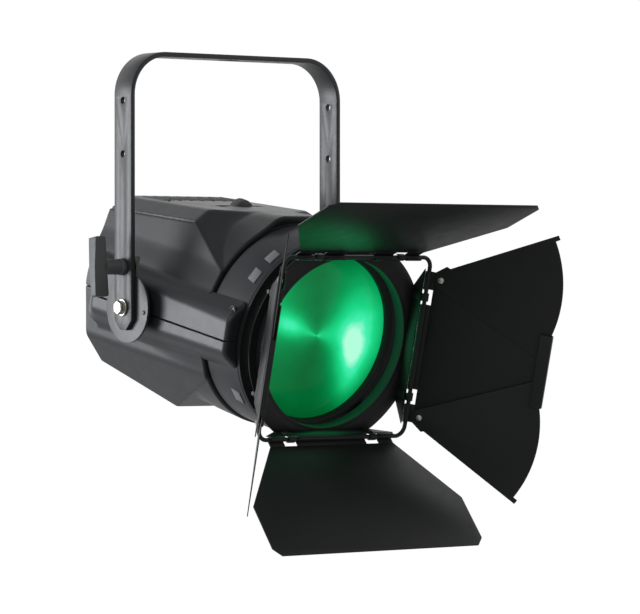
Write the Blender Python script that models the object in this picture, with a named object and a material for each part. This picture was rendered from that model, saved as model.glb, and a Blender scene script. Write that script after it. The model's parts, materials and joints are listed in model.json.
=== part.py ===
"""A yoke-hung LED Fresnel spotlight with a rotating eight-way barndoor.

Row frame: metres, +Z up, the beam points towards -Y, and the origin is the clamp point in the
middle of the yoke's top face. The head is built level in its own frame, whose X axis is the
tilt axis, and one empty tilts it nose down. Everything on the head hangs from that empty.
"""
import math

import bmesh
import bpy
from mathutils import Matrix

# --- driving dimensions, metres ------------------------------------------------------------
GAP = 0.0003            # running or seating gap between two solids

PIVOT_DROP = 0.265      # yoke top face to tilt axis
REST_TILT = math.radians(13.9)
YOKE_HALF = 0.138       # half the yoke's outer width
BAR_WIDTH = 0.030
BAR_THICK = 0.005
BEND_RADIUS = 0.045     # outer radius of the yoke's two bends
ARM_TAIL = 0.023        # arm length below the tilt axis
ARM_HOLE_HEIGHTS = (0.1588, 0.2139)
ARM_HOLE_R = 0.0035
CLAMP_SLOT = (0.028, 0.0125)
PIVOT_HOLE_R = 0.0045
LOCK_HEIGHT = 0.042     # tilt-lock stud above the tilt axis

DISC_R = 0.0367
DISC_THICK = 0.003
DISC_FACE = YOKE_HALF - BAR_THICK - GAP      # outer face of the tilt disc
BOSS_R = 0.020

OPTIC_Z = 0.0075        # beam axis above the tilt axis
WALL = 0.0025
SHELL_REAR = 0.118
BARREL_FRONT = -0.100
RAIL_FRONT = -0.158
RAIL_REAR = 0.095
RAIL_HALF = 0.121
RAIL_TOP = 0.029        # heights of the rail's two outer edges, the lower one at the tilt axis
RAIL_BOTTOM = -0.0192
RAIL_BOTTOM_RISE = 0.0557    # gained per metre towards the front
RAIL_SLOPE = 0.78
BARREL_R = 0.109
SLEEVE_R = 0.1063
SLEEVE_BORE = 0.0985
ROOF_RISE = 0.133       # roof height gained per metre towards the front
ROOF_AT_PIVOT = 0.1085
BELLY_AT_PIVOT = -0.1108
BELLY_RISE = 0.168
HOOD_HALF = 0.0285

LENS_R = 0.088
LENS_BACK = -0.146
LENS_THICK = 0.005
HOLDER_BACK = -0.1583
HOLDER_FRONT = -0.1615
FLANGE_R = 0.0997       # rear flange of the barndoor, held by the holder's lugs
FLANGE_BACK = -0.1685
RING_HOLE_R = 0.089
RING_PLATE = -0.1813    # rear face of the barndoor's square plate
RING_OUTER_R = 0.1108
SHEET = 0.0012
WIRE_Y = -0.1996
WIRE_HALF = 0.095
WIRE_R = 0.0022
WIRE_CORNER = 0.011
HOOK_SLOTS = ((-0.061, -0.045), (0.045, 0.061))     # gaps between a door's knuckles
MIDDLE_SLOT = (-0.019, 0.019)                       # one more, on the top door only
HINGE_HALF = 0.080
HOOK_X = 0.053
HOOK_HALF = 0.004
DOOR_OPEN = math.radians(38)
TOP_DOOR_OPEN = math.radians(34.5)
DOOR_REACH = 0.138
LEAF_PIVOT = (0.0135, 0.073)
LEAF_R = 0.1275
LEAF_APEX = 0.0085
LEAF_SPREAD = (math.radians(-24.8), math.radians(27.8))
LEAF_THICK = 0.001
RIVET_R = 0.002
LEAF_TOPS = (0.0021, 0.0007)     # outer faces of the two stacked leaves, above the hinge axis
HEM_Z = -0.0019

DRUM_R = 0.078
ZOOM_Y = 0.005
ZOOM_SLOT = (0.060, 0.015)
CARRIAGE_Y = -0.018     # middle of the lamp carriage's plate at mid zoom
ROD_X = 0.060
ROD_R = 0.003

for existing in list(bpy.data.objects):
    bpy.data.objects.remove(existing, do_unlink=True)


# --- materials -----------------------------------------------------------------------------
def material(name, colour, roughness, metallic=0.0):
    made = bpy.data.materials.new(name)
    made.use_nodes = True
    shader = made.node_tree.nodes["Principled BSDF"]
    shader.inputs["Base Color"].default_value = (*colour, 1.0)
    shader.inputs["Roughness"].default_value = roughness
    shader.inputs["Metallic"].default_value = metallic
    made.diffuse_color = (*colour, 1.0)
    return made


HOUSING = material("housing", (0.075, 0.078, 0.085), 0.45)
BLACK_STEEL = material("black_steel", (0.012, 0.012, 0.013), 0.55)
YOKE_STEEL = material("yoke_steel", (0.030, 0.031, 0.033), 0.50)
BRIGHT_STEEL = material("bright_steel", (0.62, 0.61, 0.58), 0.28, 1.0)
KNOB_PLASTIC = material("knob_plastic", (0.045, 0.046, 0.048), 0.60)
GLASS = material("glass", (0.05, 0.62, 0.30), 0.10)
ALUMINIUM = material("aluminium", (0.55, 0.56, 0.57), 0.40, 0.9)
BOARD = material("board", (0.02, 0.12, 0.06), 0.50)


# --- frames --------------------------------------------------------------------------------
def empty(name, matrix, parent=None):
    made = bpy.data.objects.new(name, None)
    bpy.context.scene.collection.objects.link(made)
    made.parent = parent
    made.matrix_local = matrix
    return made


def at(x, y, z):
    return Matrix.Translation((x, y, z))


def turn(angle, axis):
    return Matrix.Rotation(angle, 4, axis)


YOKE = empty("yoke_frame", at(0, 0, -PIVOT_DROP))
HEAD = empty("head_frame", turn(REST_TILT, "X"), YOKE)
OPTIC = empty("beam_axis", at(0, 0, OPTIC_Z), HEAD)
# Turned pieces are drawn along +Z and laid along the beam: their +Z becomes the frame's -Y.
BEAMWARD = turn(math.radians(90), "X")
# Takes a section drawn in XY to the YZ plane, so that its extrusion runs along X.
ACROSS = Matrix(((0, 0, 1, 0), (1, 0, 0, 0), (0, 1, 0, 0), (0, 0, 0, 1)))


# --- mesh helpers --------------------------------------------------------------------------
def finish(name, bm, look, parent=None, matrix=None, hidden=False):
    bmesh.ops.remove_doubles(bm, verts=bm.verts, dist=1e-6)
    bmesh.ops.recalc_face_normals(bm, faces=bm.faces)
    mesh = bpy.data.meshes.new(name)
    bm.to_mesh(mesh)
    bm.free()
    if look:
        mesh.materials.append(look)
    mesh.shade_smooth()
    mesh.set_sharp_from_angle(angle=math.radians(35))
    made = bpy.data.objects.new(name, mesh)
    bpy.context.scene.collection.objects.link(made)
    made.parent = parent
    made.matrix_local = matrix or Matrix()
    if hidden:
        made.hide_render = True
        made.display_type = "WIRE"
    return made


def add_prism(bm, outline, low, high):
    """Extrudes a closed outline of (x, y) points from z = low to z = high."""
    face = bm.faces.new([bm.verts.new((x, y, low)) for x, y in outline])
    raised = bmesh.ops.extrude_face_region(bm, geom=[face])["geom"]
    tops = [item for item in raised if isinstance(item, bmesh.types.BMVert)]
    bmesh.ops.translate(bm, verts=tops, vec=(0, 0, high - low))
    return bm


def prism(outline, low, high):
    return add_prism(bmesh.new(), outline, low, high)


def box(size, centre=(0, 0, 0)):
    bm = bmesh.new()
    bmesh.ops.create_cube(bm, size=1, matrix=at(*centre) @ Matrix.Diagonal((*size, 1)))
    return bm


def lathe(profile, segments):
    """Turns (radius, z) points about Z. Ends on the axis close it; otherwise it closes on itself."""
    bm = bmesh.new()
    points = [bm.verts.new((radius, 0, z)) for radius, z in profile]
    edges = [bm.edges.new(pair) for pair in zip(points, points[1:])]
    if profile[0][0] > 0:
        edges.append(bm.edges.new((points[-1], points[0])))
    bmesh.ops.spin(bm, geom=points + edges, cent=(0, 0, 0), axis=(0, 0, 1),
                   angle=math.tau, steps=segments, use_merge=True)
    return bm


def tube_profile(inner, outer, low, high):
    return [(inner, low), (outer, low), (outer, high), (inner, high)]


def rod_profile(radius, low, high):
    return [(0, low), (radius, low), (radius, high), (0, high)]


def arc(centre, radius, start, end, steps):
    angles = [start + (end - start) * i / steps for i in range(steps + 1)]
    return [(centre[0] + radius * math.cos(a), centre[1] + radius * math.sin(a)) for a in angles]


def oblong(length, width, steps=8):
    half = (length - width) / 2
    right = arc((half, 0), width / 2, -math.pi / 2, math.pi / 2, steps)
    return right + arc((-half, 0), width / 2, math.pi / 2, 3 * math.pi / 2, steps)


def combine(target, other, operation):
    """Adds a Boolean modifier whose operand is a hidden helper in the same frame as the target."""
    modifier = target.modifiers.new(other.name, "BOOLEAN")
    modifier.operation = operation
    modifier.object = other
    return target


def cut(target, name, bm, matrix=None):
    helper = finish(name, bm, None, target.parent, matrix, hidden=True)
    return combine(target, helper, "DIFFERENCE")


def weld(target, name, bm, matrix=None):
    helper = finish(name, bm, None, target.parent, matrix, hidden=True)
    return combine(target, helper, "UNION")


# --- yoke and tilt hardware ----------------------------------------------------------------
def yoke_path(half, top, radius):
    """The right half of the U, from the arm's end up and over to the middle of the top bar."""
    bend = arc((half - radius, top - radius), radius, 0, math.pi / 2, 8)
    return [(half, -ARM_TAIL)] + bend


def make_yoke():
    outer = yoke_path(YOKE_HALF, PIVOT_DROP, BEND_RADIUS)
    inner = yoke_path(YOKE_HALF - BAR_THICK, PIVOT_DROP - BAR_THICK, BEND_RADIUS - BAR_THICK)
    right = outer + [(-x, z) for x, z in reversed(outer)]
    left = [(-x, z) for x, z in inner] + [(x, z) for x, z in reversed(inner)]
    # The outline is drawn in XY and stood up, so its extrusion runs along Y.
    stand = turn(math.radians(90), "X")
    yoke = finish("yoke_bracket", prism(right + left, -BAR_WIDTH / 2, BAR_WIDTH / 2),
                  YOKE_STEEL, YOKE, stand)
    through = turn(math.radians(90), "Y")
    for height in ARM_HOLE_HEIGHTS:
        cut(yoke, f"arm_holes_{height * 1000:.0f}",
            lathe(rod_profile(ARM_HOLE_R, -0.2, 0.2), 16), at(0, 0, height) @ through)
    cut(yoke, "pivot_holes", lathe(rod_profile(PIVOT_HOLE_R, -0.2, 0.2), 24), through)
    cut(yoke, "lock_hole", lathe(rod_profile(PIVOT_HOLE_R, -0.2, -0.05), 24),
        at(0, 0, LOCK_HEIGHT) @ through)
    cut(yoke, "clamp_slot", prism(oblong(*CLAMP_SLOT), PIVOT_DROP - 0.01, PIVOT_DROP + 0.01))
    for side in (-1, 1):
        corner = turn(math.radians(45), "X")
        cut(yoke, f"tail_chamfer_{side}", box((0.4, 0.0141, 0.0141)),
            at(0, side * BAR_WIDTH / 2, -ARM_TAIL) @ corner)


def hexagon(across_flats):
    radius = across_flats / math.sqrt(3)
    return [(radius * math.cos(math.radians(60 * i)), radius * math.sin(math.radians(60 * i)))
            for i in range(6)]


def make_tilt_side(side, label):
    """The friction disc with its boss, the pivot bolt and its washer, on one side of the head."""
    outward = turn(side * math.radians(90), "Y")
    back = RAIL_HALF + GAP
    disc_back = DISC_FACE - DISC_THICK
    bm = lathe([(0, back), (BOSS_R, back), (BOSS_R, disc_back), (DISC_R, disc_back),
                (DISC_R, DISC_FACE), (PIVOT_HOLE_R - 0.0002, DISC_FACE),
                (PIVOT_HOLE_R - 0.0002, back + 0.0015), (0, back + 0.0015)], 40)
    finish(f"tilt_disc_{label}", bm, YOKE_STEEL, HEAD, outward)
    washer_low = YOKE_HALF + GAP
    washer_high = washer_low + 0.0018
    bm = lathe(tube_profile(PIVOT_HOLE_R, 0.0085, washer_low, washer_high), 24)
    finish(f"pivot_washer_{label}", bm, BRIGHT_STEEL, HEAD, outward)
    head_low = washer_high + GAP
    bolt = finish(f"pivot_bolt_{label}", prism(hexagon(0.013), head_low, head_low + 0.0053),
                  BRIGHT_STEEL, HEAD, outward)
    weld(bolt, f"pivot_shank_{label}",
         lathe(rod_profile(0.004, back + 0.002, head_low + 0.001), 20), outward)


def make_tilt_lock():
    """The wing knob on the near arm and the shoe that it pulls against the disc's rim."""
    inner = -(DISC_FACE - DISC_THICK - GAP)
    shoe = finish("lock_shoe", box((0.0035, 0.024, 0.026), (inner + 0.00175, 0, LOCK_HEIGHT - 0.002)),
                  BRIGHT_STEEL, YOKE)
    heel_outer = -(YOKE_HALF - BAR_THICK - GAP)
    weld(shoe, "shoe_heel", box((0.008, 0.024, 0.005),
                                (heel_outer + 0.004, 0, LOCK_HEIGHT + 0.0085)))
    cut(shoe, "shoe_bore", lathe(rod_profile(0.0043, -0.2, -0.1), 20),
        at(0, 0, LOCK_HEIGHT) @ turn(math.radians(90), "Y"))
    knob_frame = empty("tilt_knob_axis", at(0, 0, LOCK_HEIGHT), YOKE)
    outward = turn(math.radians(-90), "Y")
    hub_low = YOKE_HALF + GAP
    hub = [(0, hub_low - 0.012), (0.004, hub_low - 0.012), (0.004, hub_low), (0.0087, hub_low),
           (0.0087, hub_low + 0.024), (0, hub_low + 0.024)]
    knob = finish("tilt_lock_knob", lathe(hub, 20), KNOB_PLASTIC, knob_frame, outward)
    wing = [(-0.012, 0.161), (0.030, 0.1615), (0.031, 0.170), (0.012, 0.177), (-0.012, 0.177),
            (-0.030, 0.170), (-0.029, 0.161)]
    # The wing's outline is in the plane of its length and the knob's axis.
    lean = turn(math.radians(-8), "X")
    stand = Matrix(((0, -1, 0, 0), (0, 0, -1, 0), (1, 0, 0, 0), (0, 0, 0, 1)))
    weld(knob, "knob_wing", prism(wing, -0.0065, 0.0065), lean @ stand)


# --- housing -------------------------------------------------------------------------------
def roof_height(y):
    return ROOF_AT_PIVOT - ROOF_RISE * y


def belly_height(y):
    return BELLY_AT_PIVOT + BELLY_RISE * y


def barrel_radius(y):
    return BARREL_R - 0.035 * max(0.0, y + 0.060)


# Faces of the rear body as a*|x| + b*y + c*z <= d, in the head's frame.
ROOF = (0, ROOF_RISE, 1, ROOF_AT_PIVOT)
BELLY = (0, BELLY_RISE, -1, -BELLY_AT_PIVOT)
BODY_FACES = (
    ROOF,
    (13, 22 * ROOF_RISE, 22, 22 * ROOF_AT_PIVOT + 13 * 0.062),   # shoulder
    (1, 0.0227, 0.2436, 0.1081),                            # upper side facet
    (1, 0, -0.167, 0.1042),                                 # flank below the rail
    (1, -0.0361, -0.845, 0.1398),                           # lower side facet
    BELLY,
    (0.886, -1, 2.18, 0.3227),                              # upper front cut
    (0.0303, -1, -1.788, 0.1931),                           # lower front cut
)
HOOD_FACES = (
    ROOF,
    (0.75, ROOF_RISE, 1, ROOF_AT_PIVOT + 0.75 * HOOD_HALF),
    (0, 0, -1, 0.05),
    (1, 0, 0, 0.07),
)


def reach(faces, angle, y):
    """Distance from the beam axis to the nearest of these faces, in the direction of the angle."""
    sine, cosine = abs(math.sin(angle)), math.cos(angle)
    nearest = 1.0
    for a, b, c, d in faces:
        slope = a * sine + c * cosine
        room = d - b * y - c * OPTIC_Z
        if slope > 1e-9:
            nearest = min(nearest, room / slope)
        elif room < 0:
            return 0.0
    return max(0.0, nearest)


def rail_bottom(y):
    return RAIL_BOTTOM - RAIL_BOTTOM_RISE * y


def rail_faces(y):
    """The side rail's outer, upper and lower faces, and the heights where it merges into the body."""
    half = RAIL_HALF - 0.6 * max(0.0, y - (RAIL_REAR - 0.015))
    slope = RAIL_SLOPE - 0.45 * min(1.0, max(0.0, (y + 0.16) / 0.25))
    upper = RAIL_TOP + slope * RAIL_HALF
    lower = -rail_bottom(y) + RAIL_SLOPE * RAIL_HALF
    return ((1, 0, 0, half), (slope, 0, 1, upper), (RAIL_SLOPE, 0, -1, lower),
            (0, 0, 1, 0.090), (0, 0, -1, 0.080))


def housing_radius(angle, y):
    """Outer radius of the housing about the beam axis; angle 0 is up."""
    if y < BARREL_FRONT:
        radius = 0.104
    else:
        radius = max(barrel_radius(y), reach(BODY_FACES, angle, y))
        # The barrel is planed off level with the roof and the belly.
        radius = min(radius, reach((ROOF, BELLY), angle, y))
        if y < 0:
            radius = max(radius, reach(HOOD_FACES, angle, y))
    if RAIL_FRONT <= y <= RAIL_REAR:
        radius = max(radius, reach(rail_faces(y), angle, y))
    return radius


def split_height(y):
    return -0.0027 - 0.0425 * y


def angle_of(x, z):
    return math.atan2(x, z - OPTIC_Z)


def section_angles(y, upper):
    """Angles of the section's corners at this station, with a few steps between them."""
    roof, split = roof_height(y), split_height(y)
    if upper:
        corners = [0, angle_of(HOOD_HALF, roof), angle_of(0.062, roof), angle_of(0.084, roof - 0.013),
                   angle_of(0.0935, 0.0615 - 0.07 * y), angle_of(0.1065, 0.036 - 0.05 * y),
                   angle_of(RAIL_HALF, RAIL_TOP), angle_of(RAIL_HALF, split + GAP / 2)]
        steps = (2, 2, 2, 3, 3, 2, 1)
    else:
        belly = belly_height(y)
        edge = 0.1398 + 0.0361 * y + 0.845 * belly
        corners = [angle_of(RAIL_HALF, split - GAP / 2), angle_of(RAIL_HALF, rail_bottom(y)),
                   angle_of(0.103, -0.031), angle_of(0.094, -0.056), angle_of(max(edge, 0.03), belly), math.pi]
        steps = (1, 2, 2, 4, 3)
    angles = []
    for start, end, count in zip(corners, corners[1:], steps):
        angles += [start + (end - start) * i / count for i in range(count)]
    half = angles + [corners[-1]]
    if upper:
        return [-angle for angle in reversed(half[1:])] + half
    return half + [math.tau - angle for angle in reversed(half[:-1])]


def inner_radius(angle, y):
    if y < BARREL_FRONT:
        return 0.100
    ahead = max(y - WALL, RAIL_FRONT)
    behind = min(y + WALL, SHELL_REAR)
    return min(housing_radius(angle, near) for near in (ahead, y, behind)) - WALL


STATIONS = (SHELL_REAR, 0.0955, RAIL_REAR - 0.0005, 0.080, 0.045, 0.010, -0.010, -0.028, -0.044, -0.060,
            -0.076, -0.090, BARREL_FRONT + 0.0002, BARREL_FRONT - 0.0002, RAIL_FRONT)


def make_shell(name, upper):
    """Half of the housing: an outer and an inner skin joined at the split and at both ends."""
    bm = bmesh.new()
    skins = []
    for radius_at in (housing_radius, inner_radius):
        rows = []
        for y in STATIONS:
            angles = section_angles(y, upper)
            rows.append([bm.verts.new((radius_at(a, y) * math.sin(a), y, radius_at(a, y) * math.cos(a)))
                         for a in angles])
        skins.append(rows)
        for row, following in zip(rows, rows[1:]):
            for i in range(len(row) - 1):
                bm.faces.new((row[i], row[i + 1], following[i + 1], following[i]))
    outer, inner = skins
    for row, mate in ((outer[0], inner[0]), (outer[-1], inner[-1])):
        for i in range(len(row) - 1):
            bm.faces.new((row[i], row[i + 1], mate[i + 1], mate[i]))
    for i in range(len(STATIONS) - 1):
        for end in (0, -1):
            bm.faces.new((outer[i][end], outer[i + 1][end], inner[i + 1][end], inner[i][end]))
    shell = finish(name, bm, HOUSING, OPTIC)
    sleeve_room = rod_profile(SLEEVE_R + 0.0007, -BARREL_FRONT + 0.00016, 0.17)
    cut(shell, f"{name}_sleeve_room", lathe(sleeve_room, 52), BEAMWARD)
    return shell


def make_housing():
    upper = make_shell("upper_shell", True)
    roof = roof_height(ZOOM_Y) - OPTIC_Z
    cut(upper, "zoom_opening", box((*ZOOM_SLOT, 0.02), (0, ZOOM_Y, roof)))
    for i in range(7):
        x = (i - 3) * 0.0146
        cut(upper, f"vent_slot_{i}", box((0.0062, 0.044, 0.03), (x, 0.0865, roof - 0.012)))
    make_shell("lower_shell", False)
    sleeve = [(SLEEVE_BORE, 0.1006), (SLEEVE_R, 0.1006), (SLEEVE_R - 0.0007, 0.1575),
              (SLEEVE_R - 0.0012, 0.158), (SLEEVE_BORE, 0.158)]
    finish("front_sleeve", lathe(sleeve, 48), HOUSING, OPTIC, BEAMWARD)


KEY_SPOTS = [(0.028 + 0.014 * (i % 2), 0.059 - 0.014 * (i // 2)) for i in range(4)]
SOCKET_XS = (-0.051, -0.017, 0.017, 0.051)
SOCKET_Z = -0.030
PANEL_LOW, PANEL_HIGH = 0.1115, 0.1145


def make_rear():
    """The rear panel with its display, keys and sockets, and the safety-cable eye."""
    angles = section_angles(SHELL_REAR, True) + section_angles(SHELL_REAR, False)[1:-1]
    inset = WALL + 0.0008
    outline = []
    for angle in angles:
        radius = housing_radius(angle, SHELL_REAR) - inset
        outline.append((radius * math.sin(angle), radius * math.cos(angle)))
    panel = finish("rear_panel", prism(outline, -PANEL_HIGH, -PANEL_LOW), HOUSING, OPTIC, BEAMWARD)
    cut(panel, "display_window", box((0.0506, 0.0256, 0.02), (-0.018, 0.052, -PANEL_HIGH)), BEAMWARD)
    for i, (x, z) in enumerate(KEY_SPOTS):
        hole = lathe(rod_profile(0.0043, -0.13, -0.09), 16)
        cut(panel, f"key_hole_{i}", hole, BEAMWARD @ at(x, z, 0))
    for i, x in enumerate(SOCKET_XS):
        hole = lathe(rod_profile(0.0118, -0.13, -0.09), 24)
        cut(panel, f"socket_hole_{i}", hole, BEAMWARD @ at(x, SOCKET_Z, 0))
    window = box((0.050, 0.025, 0.006), (-0.018, 0.052, 0.003 - PANEL_HIGH))
    finish("display", window, GLASS, OPTIC, BEAMWARD)
    # Each key's cap stands proud of the panel, and its collar stops it from behind.
    key = [(0, -PANEL_HIGH - 0.003), (0.004, -PANEL_HIGH - 0.003), (0.004, 0.0025 - PANEL_LOW),
           (0.0055, 0.0025 - PANEL_LOW), (0.0055, 0.004 - PANEL_LOW), (0, 0.004 - PANEL_LOW)]
    for i, (x, z) in enumerate(KEY_SPOTS):
        finish(f"menu_key_{i + 1}", lathe(key, 16), KNOB_PLASTIC, OPTIC, BEAMWARD @ at(x, z, 0))
    rim = -PANEL_HIGH - 0.0025
    socket = [(0, 0.018 - PANEL_LOW), (0.0115, 0.018 - PANEL_LOW), (0.0115, -PANEL_HIGH - GAP),
              (0.014, -PANEL_HIGH - GAP), (0.014, rim), (0.009, rim), (0.009, 0.014 - PANEL_LOW),
              (0, 0.014 - PANEL_LOW)]
    for name, x in zip(("power_inlet", "power_outlet", "data_in", "data_out"), SOCKET_XS):
        finish(name, lathe(socket, 20), BLACK_STEEL, OPTIC, BEAMWARD @ at(x, SOCKET_Z, 0))
    eye = finish("safety_eye", box((0.030, 0.004, 0.012), (0, PANEL_HIGH + GAP + 0.002, 0.076)),
                 BRIGHT_STEEL, OPTIC)
    weld(eye, "eye_loop", lathe(tube_profile(0.0065, 0.0105, -0.002, 0.002), 20),
         at(0, PANEL_HIGH + GAP + 0.0122, 0.076))
    cut(eye, "eye_clearance", lathe(rod_profile(0.0065, -0.01, 0.01), 20),
        at(0, PANEL_HIGH + GAP + 0.0122, 0.076))


# --- front end of the head -----------------------------------------------------------------
LUG_ANGLES = (math.radians(-140), math.radians(140))
LATCH_PIVOT = (-0.1650, 0.1075)      # y and height above the beam axis


def make_lens_stack():
    cell = [(0.0850, -LENS_BACK - 0.0050), (0.0978, -LENS_BACK - 0.0050), (0.0978, 0.1512),
            (LENS_R + GAP, 0.1512), (LENS_R + GAP, -LENS_BACK - GAP), (0.0850, -LENS_BACK - GAP)]
    finish("lens_cell", lathe(cell, 48), BLACK_STEEL, OPTIC, BEAMWARD)
    # The front face has a few coarse steps and a shallow crown in the middle.
    back, front = -LENS_BACK, -LENS_BACK + LENS_THICK
    lens = [(0, back), (LENS_R, back), (LENS_R, front - 0.001)]
    for i in range(5):
        outer = LENS_R - 0.003 - 0.012 * i
        lens += [(outer, front - 0.001), (outer - 0.0115, front)]
    lens += [(0, front)]
    finish("lens", lathe(lens, 48), GLASS, OPTIC, BEAMWARD)
    ring = [(0.0835, front + GAP), (0.0970, 0.1515), (0.0970, 0.1600), (0.0860, 0.1600), (0.0835, 0.1575)]
    finish("lens_ring", lathe(ring, 48), BLACK_STEEL, OPTIC, BEAMWARD)


def make_holder():
    """The accessory holder: a front ring with two fixed lugs, and ears for the sprung top latch."""
    rim = tube_profile(0.0974, 0.1055, -HOLDER_BACK, -HOLDER_FRONT)
    holder = finish("accessory_holder", lathe(rim, 48), BLACK_STEEL, OPTIC, BEAMWARD)
    # A lug in section: its wall and two hooks, which leave a colour-frame slot and a barndoor slot.
    lug = [(HOLDER_FRONT + 0.001, 0.1045), (FLANGE_BACK - 0.0034, 0.1045), (FLANGE_BACK - 0.0034, 0.0945),
           (FLANGE_BACK - 0.0018, 0.0945), (FLANGE_BACK - 0.0018, 0.1020), (FLANGE_BACK + GAP, 0.1020),
           (FLANGE_BACK + GAP, 0.0945), (FLANGE_BACK + 0.0019, 0.0945), (FLANGE_BACK + 0.0019, 0.1020),
           (HOLDER_FRONT + 0.001, 0.1020)]
    for i, angle in enumerate(LUG_ANGLES):
        weld(holder, f"lug_{i}", prism(lug, -0.011, 0.011), turn(angle, "Y") @ ACROSS)
    y, height = LATCH_PIVOT
    for side in (-1, 1):
        weld(holder, f"latch_ear_{side}",
             box((0.002, 0.0095, 0.0085), (side * 0.0145, HOLDER_FRONT - 0.0037, 0.1063)))
    cut(holder, "latch_pin_bore", lathe(rod_profile(0.0018, -0.03, 0.03), 16),
        at(0, y, height) @ turn(math.radians(90), "Y"))
    latch_axis = empty("latch_axis", at(0, y, height), OPTIC)
    hook = [(0.003, 0.0015), (-0.0069, 0.0015), (-0.0069, -0.0105), (-0.0053, -0.0105), (-0.0053, -0.0022),
            (-0.0015, -0.0022), (0.003, -0.0010)]
    latch = finish("accessory_latch", prism(hook, -0.013, 0.013), BLACK_STEEL, latch_axis, ACROSS)
    weld(latch, "latch_pin", lathe(rod_profile(0.0015, -0.0155, 0.0155), 12), turn(math.radians(90), "Y"))


# --- inside the head -----------------------------------------------------------------------
def make_optics_train():
    through = turn(math.radians(90), "X")
    bulkhead = finish("front_bulkhead", lathe(tube_profile(0.052, 0.1040, 0.076, 0.079), 48), ALUMINIUM,
                      OPTIC, BEAMWARD)
    middle = finish("middle_bulkhead", lathe(tube_profile(DRUM_R + 0.0004, 0.1000, -0.025, -0.022), 48),
                    ALUMINIUM, OPTIC, BEAMWARD)
    cut(middle, "roof_flat", box((0.100, 0.010, 0.020), (0, 0.0235, 0.1043)))
    bridge = finish("rod_bridge", box((0.217, 0.003, 0.016), (0, 0.0855, 0.004)), ALUMINIUM, OPTIC)
    for label, side in (("left", -1), ("right", 1)):
        finish(f"guide_rod_{label}", lathe(rod_profile(ROD_R, -0.0895, 0.0785), 12), BRIGHT_STEEL, OPTIC,
               at(side * ROD_X, 0, 0) @ BEAMWARD)
        for holder in (bridge, bulkhead):
            cut(holder, f"{holder.name}_bore_{label}", lathe(rod_profile(ROD_R + GAP, -0.1, 0.1), 16),
                at(side * ROD_X, 0, 0) @ BEAMWARD)
    drum = finish("zoom_drum", lathe(tube_profile(DRUM_R - 0.002, DRUM_R, -0.030, 0.0755), 48), BLACK_STEEL,
                  OPTIC, BEAMWARD)
    weld(drum, "knob_stem", lathe(rod_profile(0.003, DRUM_R - 0.001, 0.1045), 12), at(0, ZOOM_Y, 0))
    top = roof_height(ZOOM_Y) - OPTIC_Z
    dome = arc((0, top - 0.003), 0.0122, math.radians(5), math.radians(175), 12)
    knob = finish("zoom_knob", prism(dome, -0.006, 0.006), KNOB_PLASTIC, OPTIC,
                  at(0, ZOOM_Y, 0) @ through)
    cut(knob, "stem_socket", lathe(rod_profile(0.003 + GAP, 0.09, 0.1045 + GAP), 16), at(0, ZOOM_Y, 0))


def make_lamp_carriage():
    y = -CARRIAGE_Y
    outline = oblong(0.140, 0.104, 12)
    plate = finish("lamp_carriage", prism(outline, y, y + 0.003), ALUMINIUM, OPTIC, BEAMWARD)
    for side in (-1, 1):
        cut(plate, f"carriage_bush_{side}", lathe(rod_profile(ROD_R + GAP, -0.1, 0.1), 16),
            at(side * ROD_X, 0, 0) @ BEAMWARD)
    finish("led_module", lathe(rod_profile(0.034, y + 0.003 + GAP, y + 0.005), 32), BOARD, OPTIC, BEAMWARD)
    low = y + 0.005 + GAP
    collimator = [(0, low), (0.030, low), (0.034, low + 0.004), (0.034, low + 0.008)]
    collimator += [(0.034 * math.cos(a), low + 0.008 + 0.012 * math.sin(a))
                   for a in (math.radians(18 * i) for i in range(1, 6))]
    finish("collimator_lens", lathe(collimator, 32), GLASS, OPTIC, BEAMWARD)
    sink = finish("heat_sink", box((0.086, 0.006, 0.086), (0, 0.0033 - y, 0)), ALUMINIUM, OPTIC)
    for i in range(11):
        x = (i - 5) * 0.0078
        weld(sink, f"fin_{i}", box((0.0016, 0.036, 0.086), (x, 0.0233 - y, 0)))
    fan_low = -y + 0.0423
    frame = finish("fan_frame", box((0.080, 0.015, 0.080), (0, fan_low + 0.0075, 0)), BLACK_STEEL, OPTIC)
    cut(frame, "fan_duct", lathe(rod_profile(0.0375, -0.2, 0.2), 32), BEAMWARD)
    for i in range(3):
        weld(frame, f"fan_strut_{i}", box((0.003, 0.002, 0.076), (0, fan_low + 0.0135, 0)),
             turn(math.radians(60 * i), "Y"))
    rotor_axis = empty("fan_axis", at(0, fan_low + 0.006, 0), OPTIC)
    rotor = finish("fan_rotor", lathe(rod_profile(0.014, -0.0055, 0.0055), 24), KNOB_PLASTIC, rotor_axis,
                   BEAMWARD)
    for i in range(7):
        blade = box((0.024, 0.0012, 0.014), (0.024, 0, 0))
        weld(rotor, f"blade_{i}", blade, turn(math.tau * i / 7, "Y") @ turn(math.radians(35), "X"))


def make_electronics():
    finish("power_supply", box((0.080, 0.068, 0.016), (0, 0.063, -0.0895)), ALUMINIUM, OPTIC)
    finish("control_board", box((0.074, 0.0016, 0.034), (0.003, PANEL_LOW - 0.0075, 0.052)), BOARD, OPTIC)


# --- barndoor ------------------------------------------------------------------------------
RING = empty("barndoor_axis", Matrix(), OPTIC)
CURL_IN = WIRE_R + GAP
CURL_OUT = CURL_IN + SHEET


def side_frames():
    """The four sides of the wire: X along the wire, Y along the beam, Z away from the beam axis."""
    for label, angle in (("top", 0), ("right", 90), ("bottom", 180), ("left", -90)):
        middle = turn(math.radians(angle), "Y") @ at(0, WIRE_Y, WIRE_HALF)
        yield label, middle @ turn(math.pi, "Z")


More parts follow.
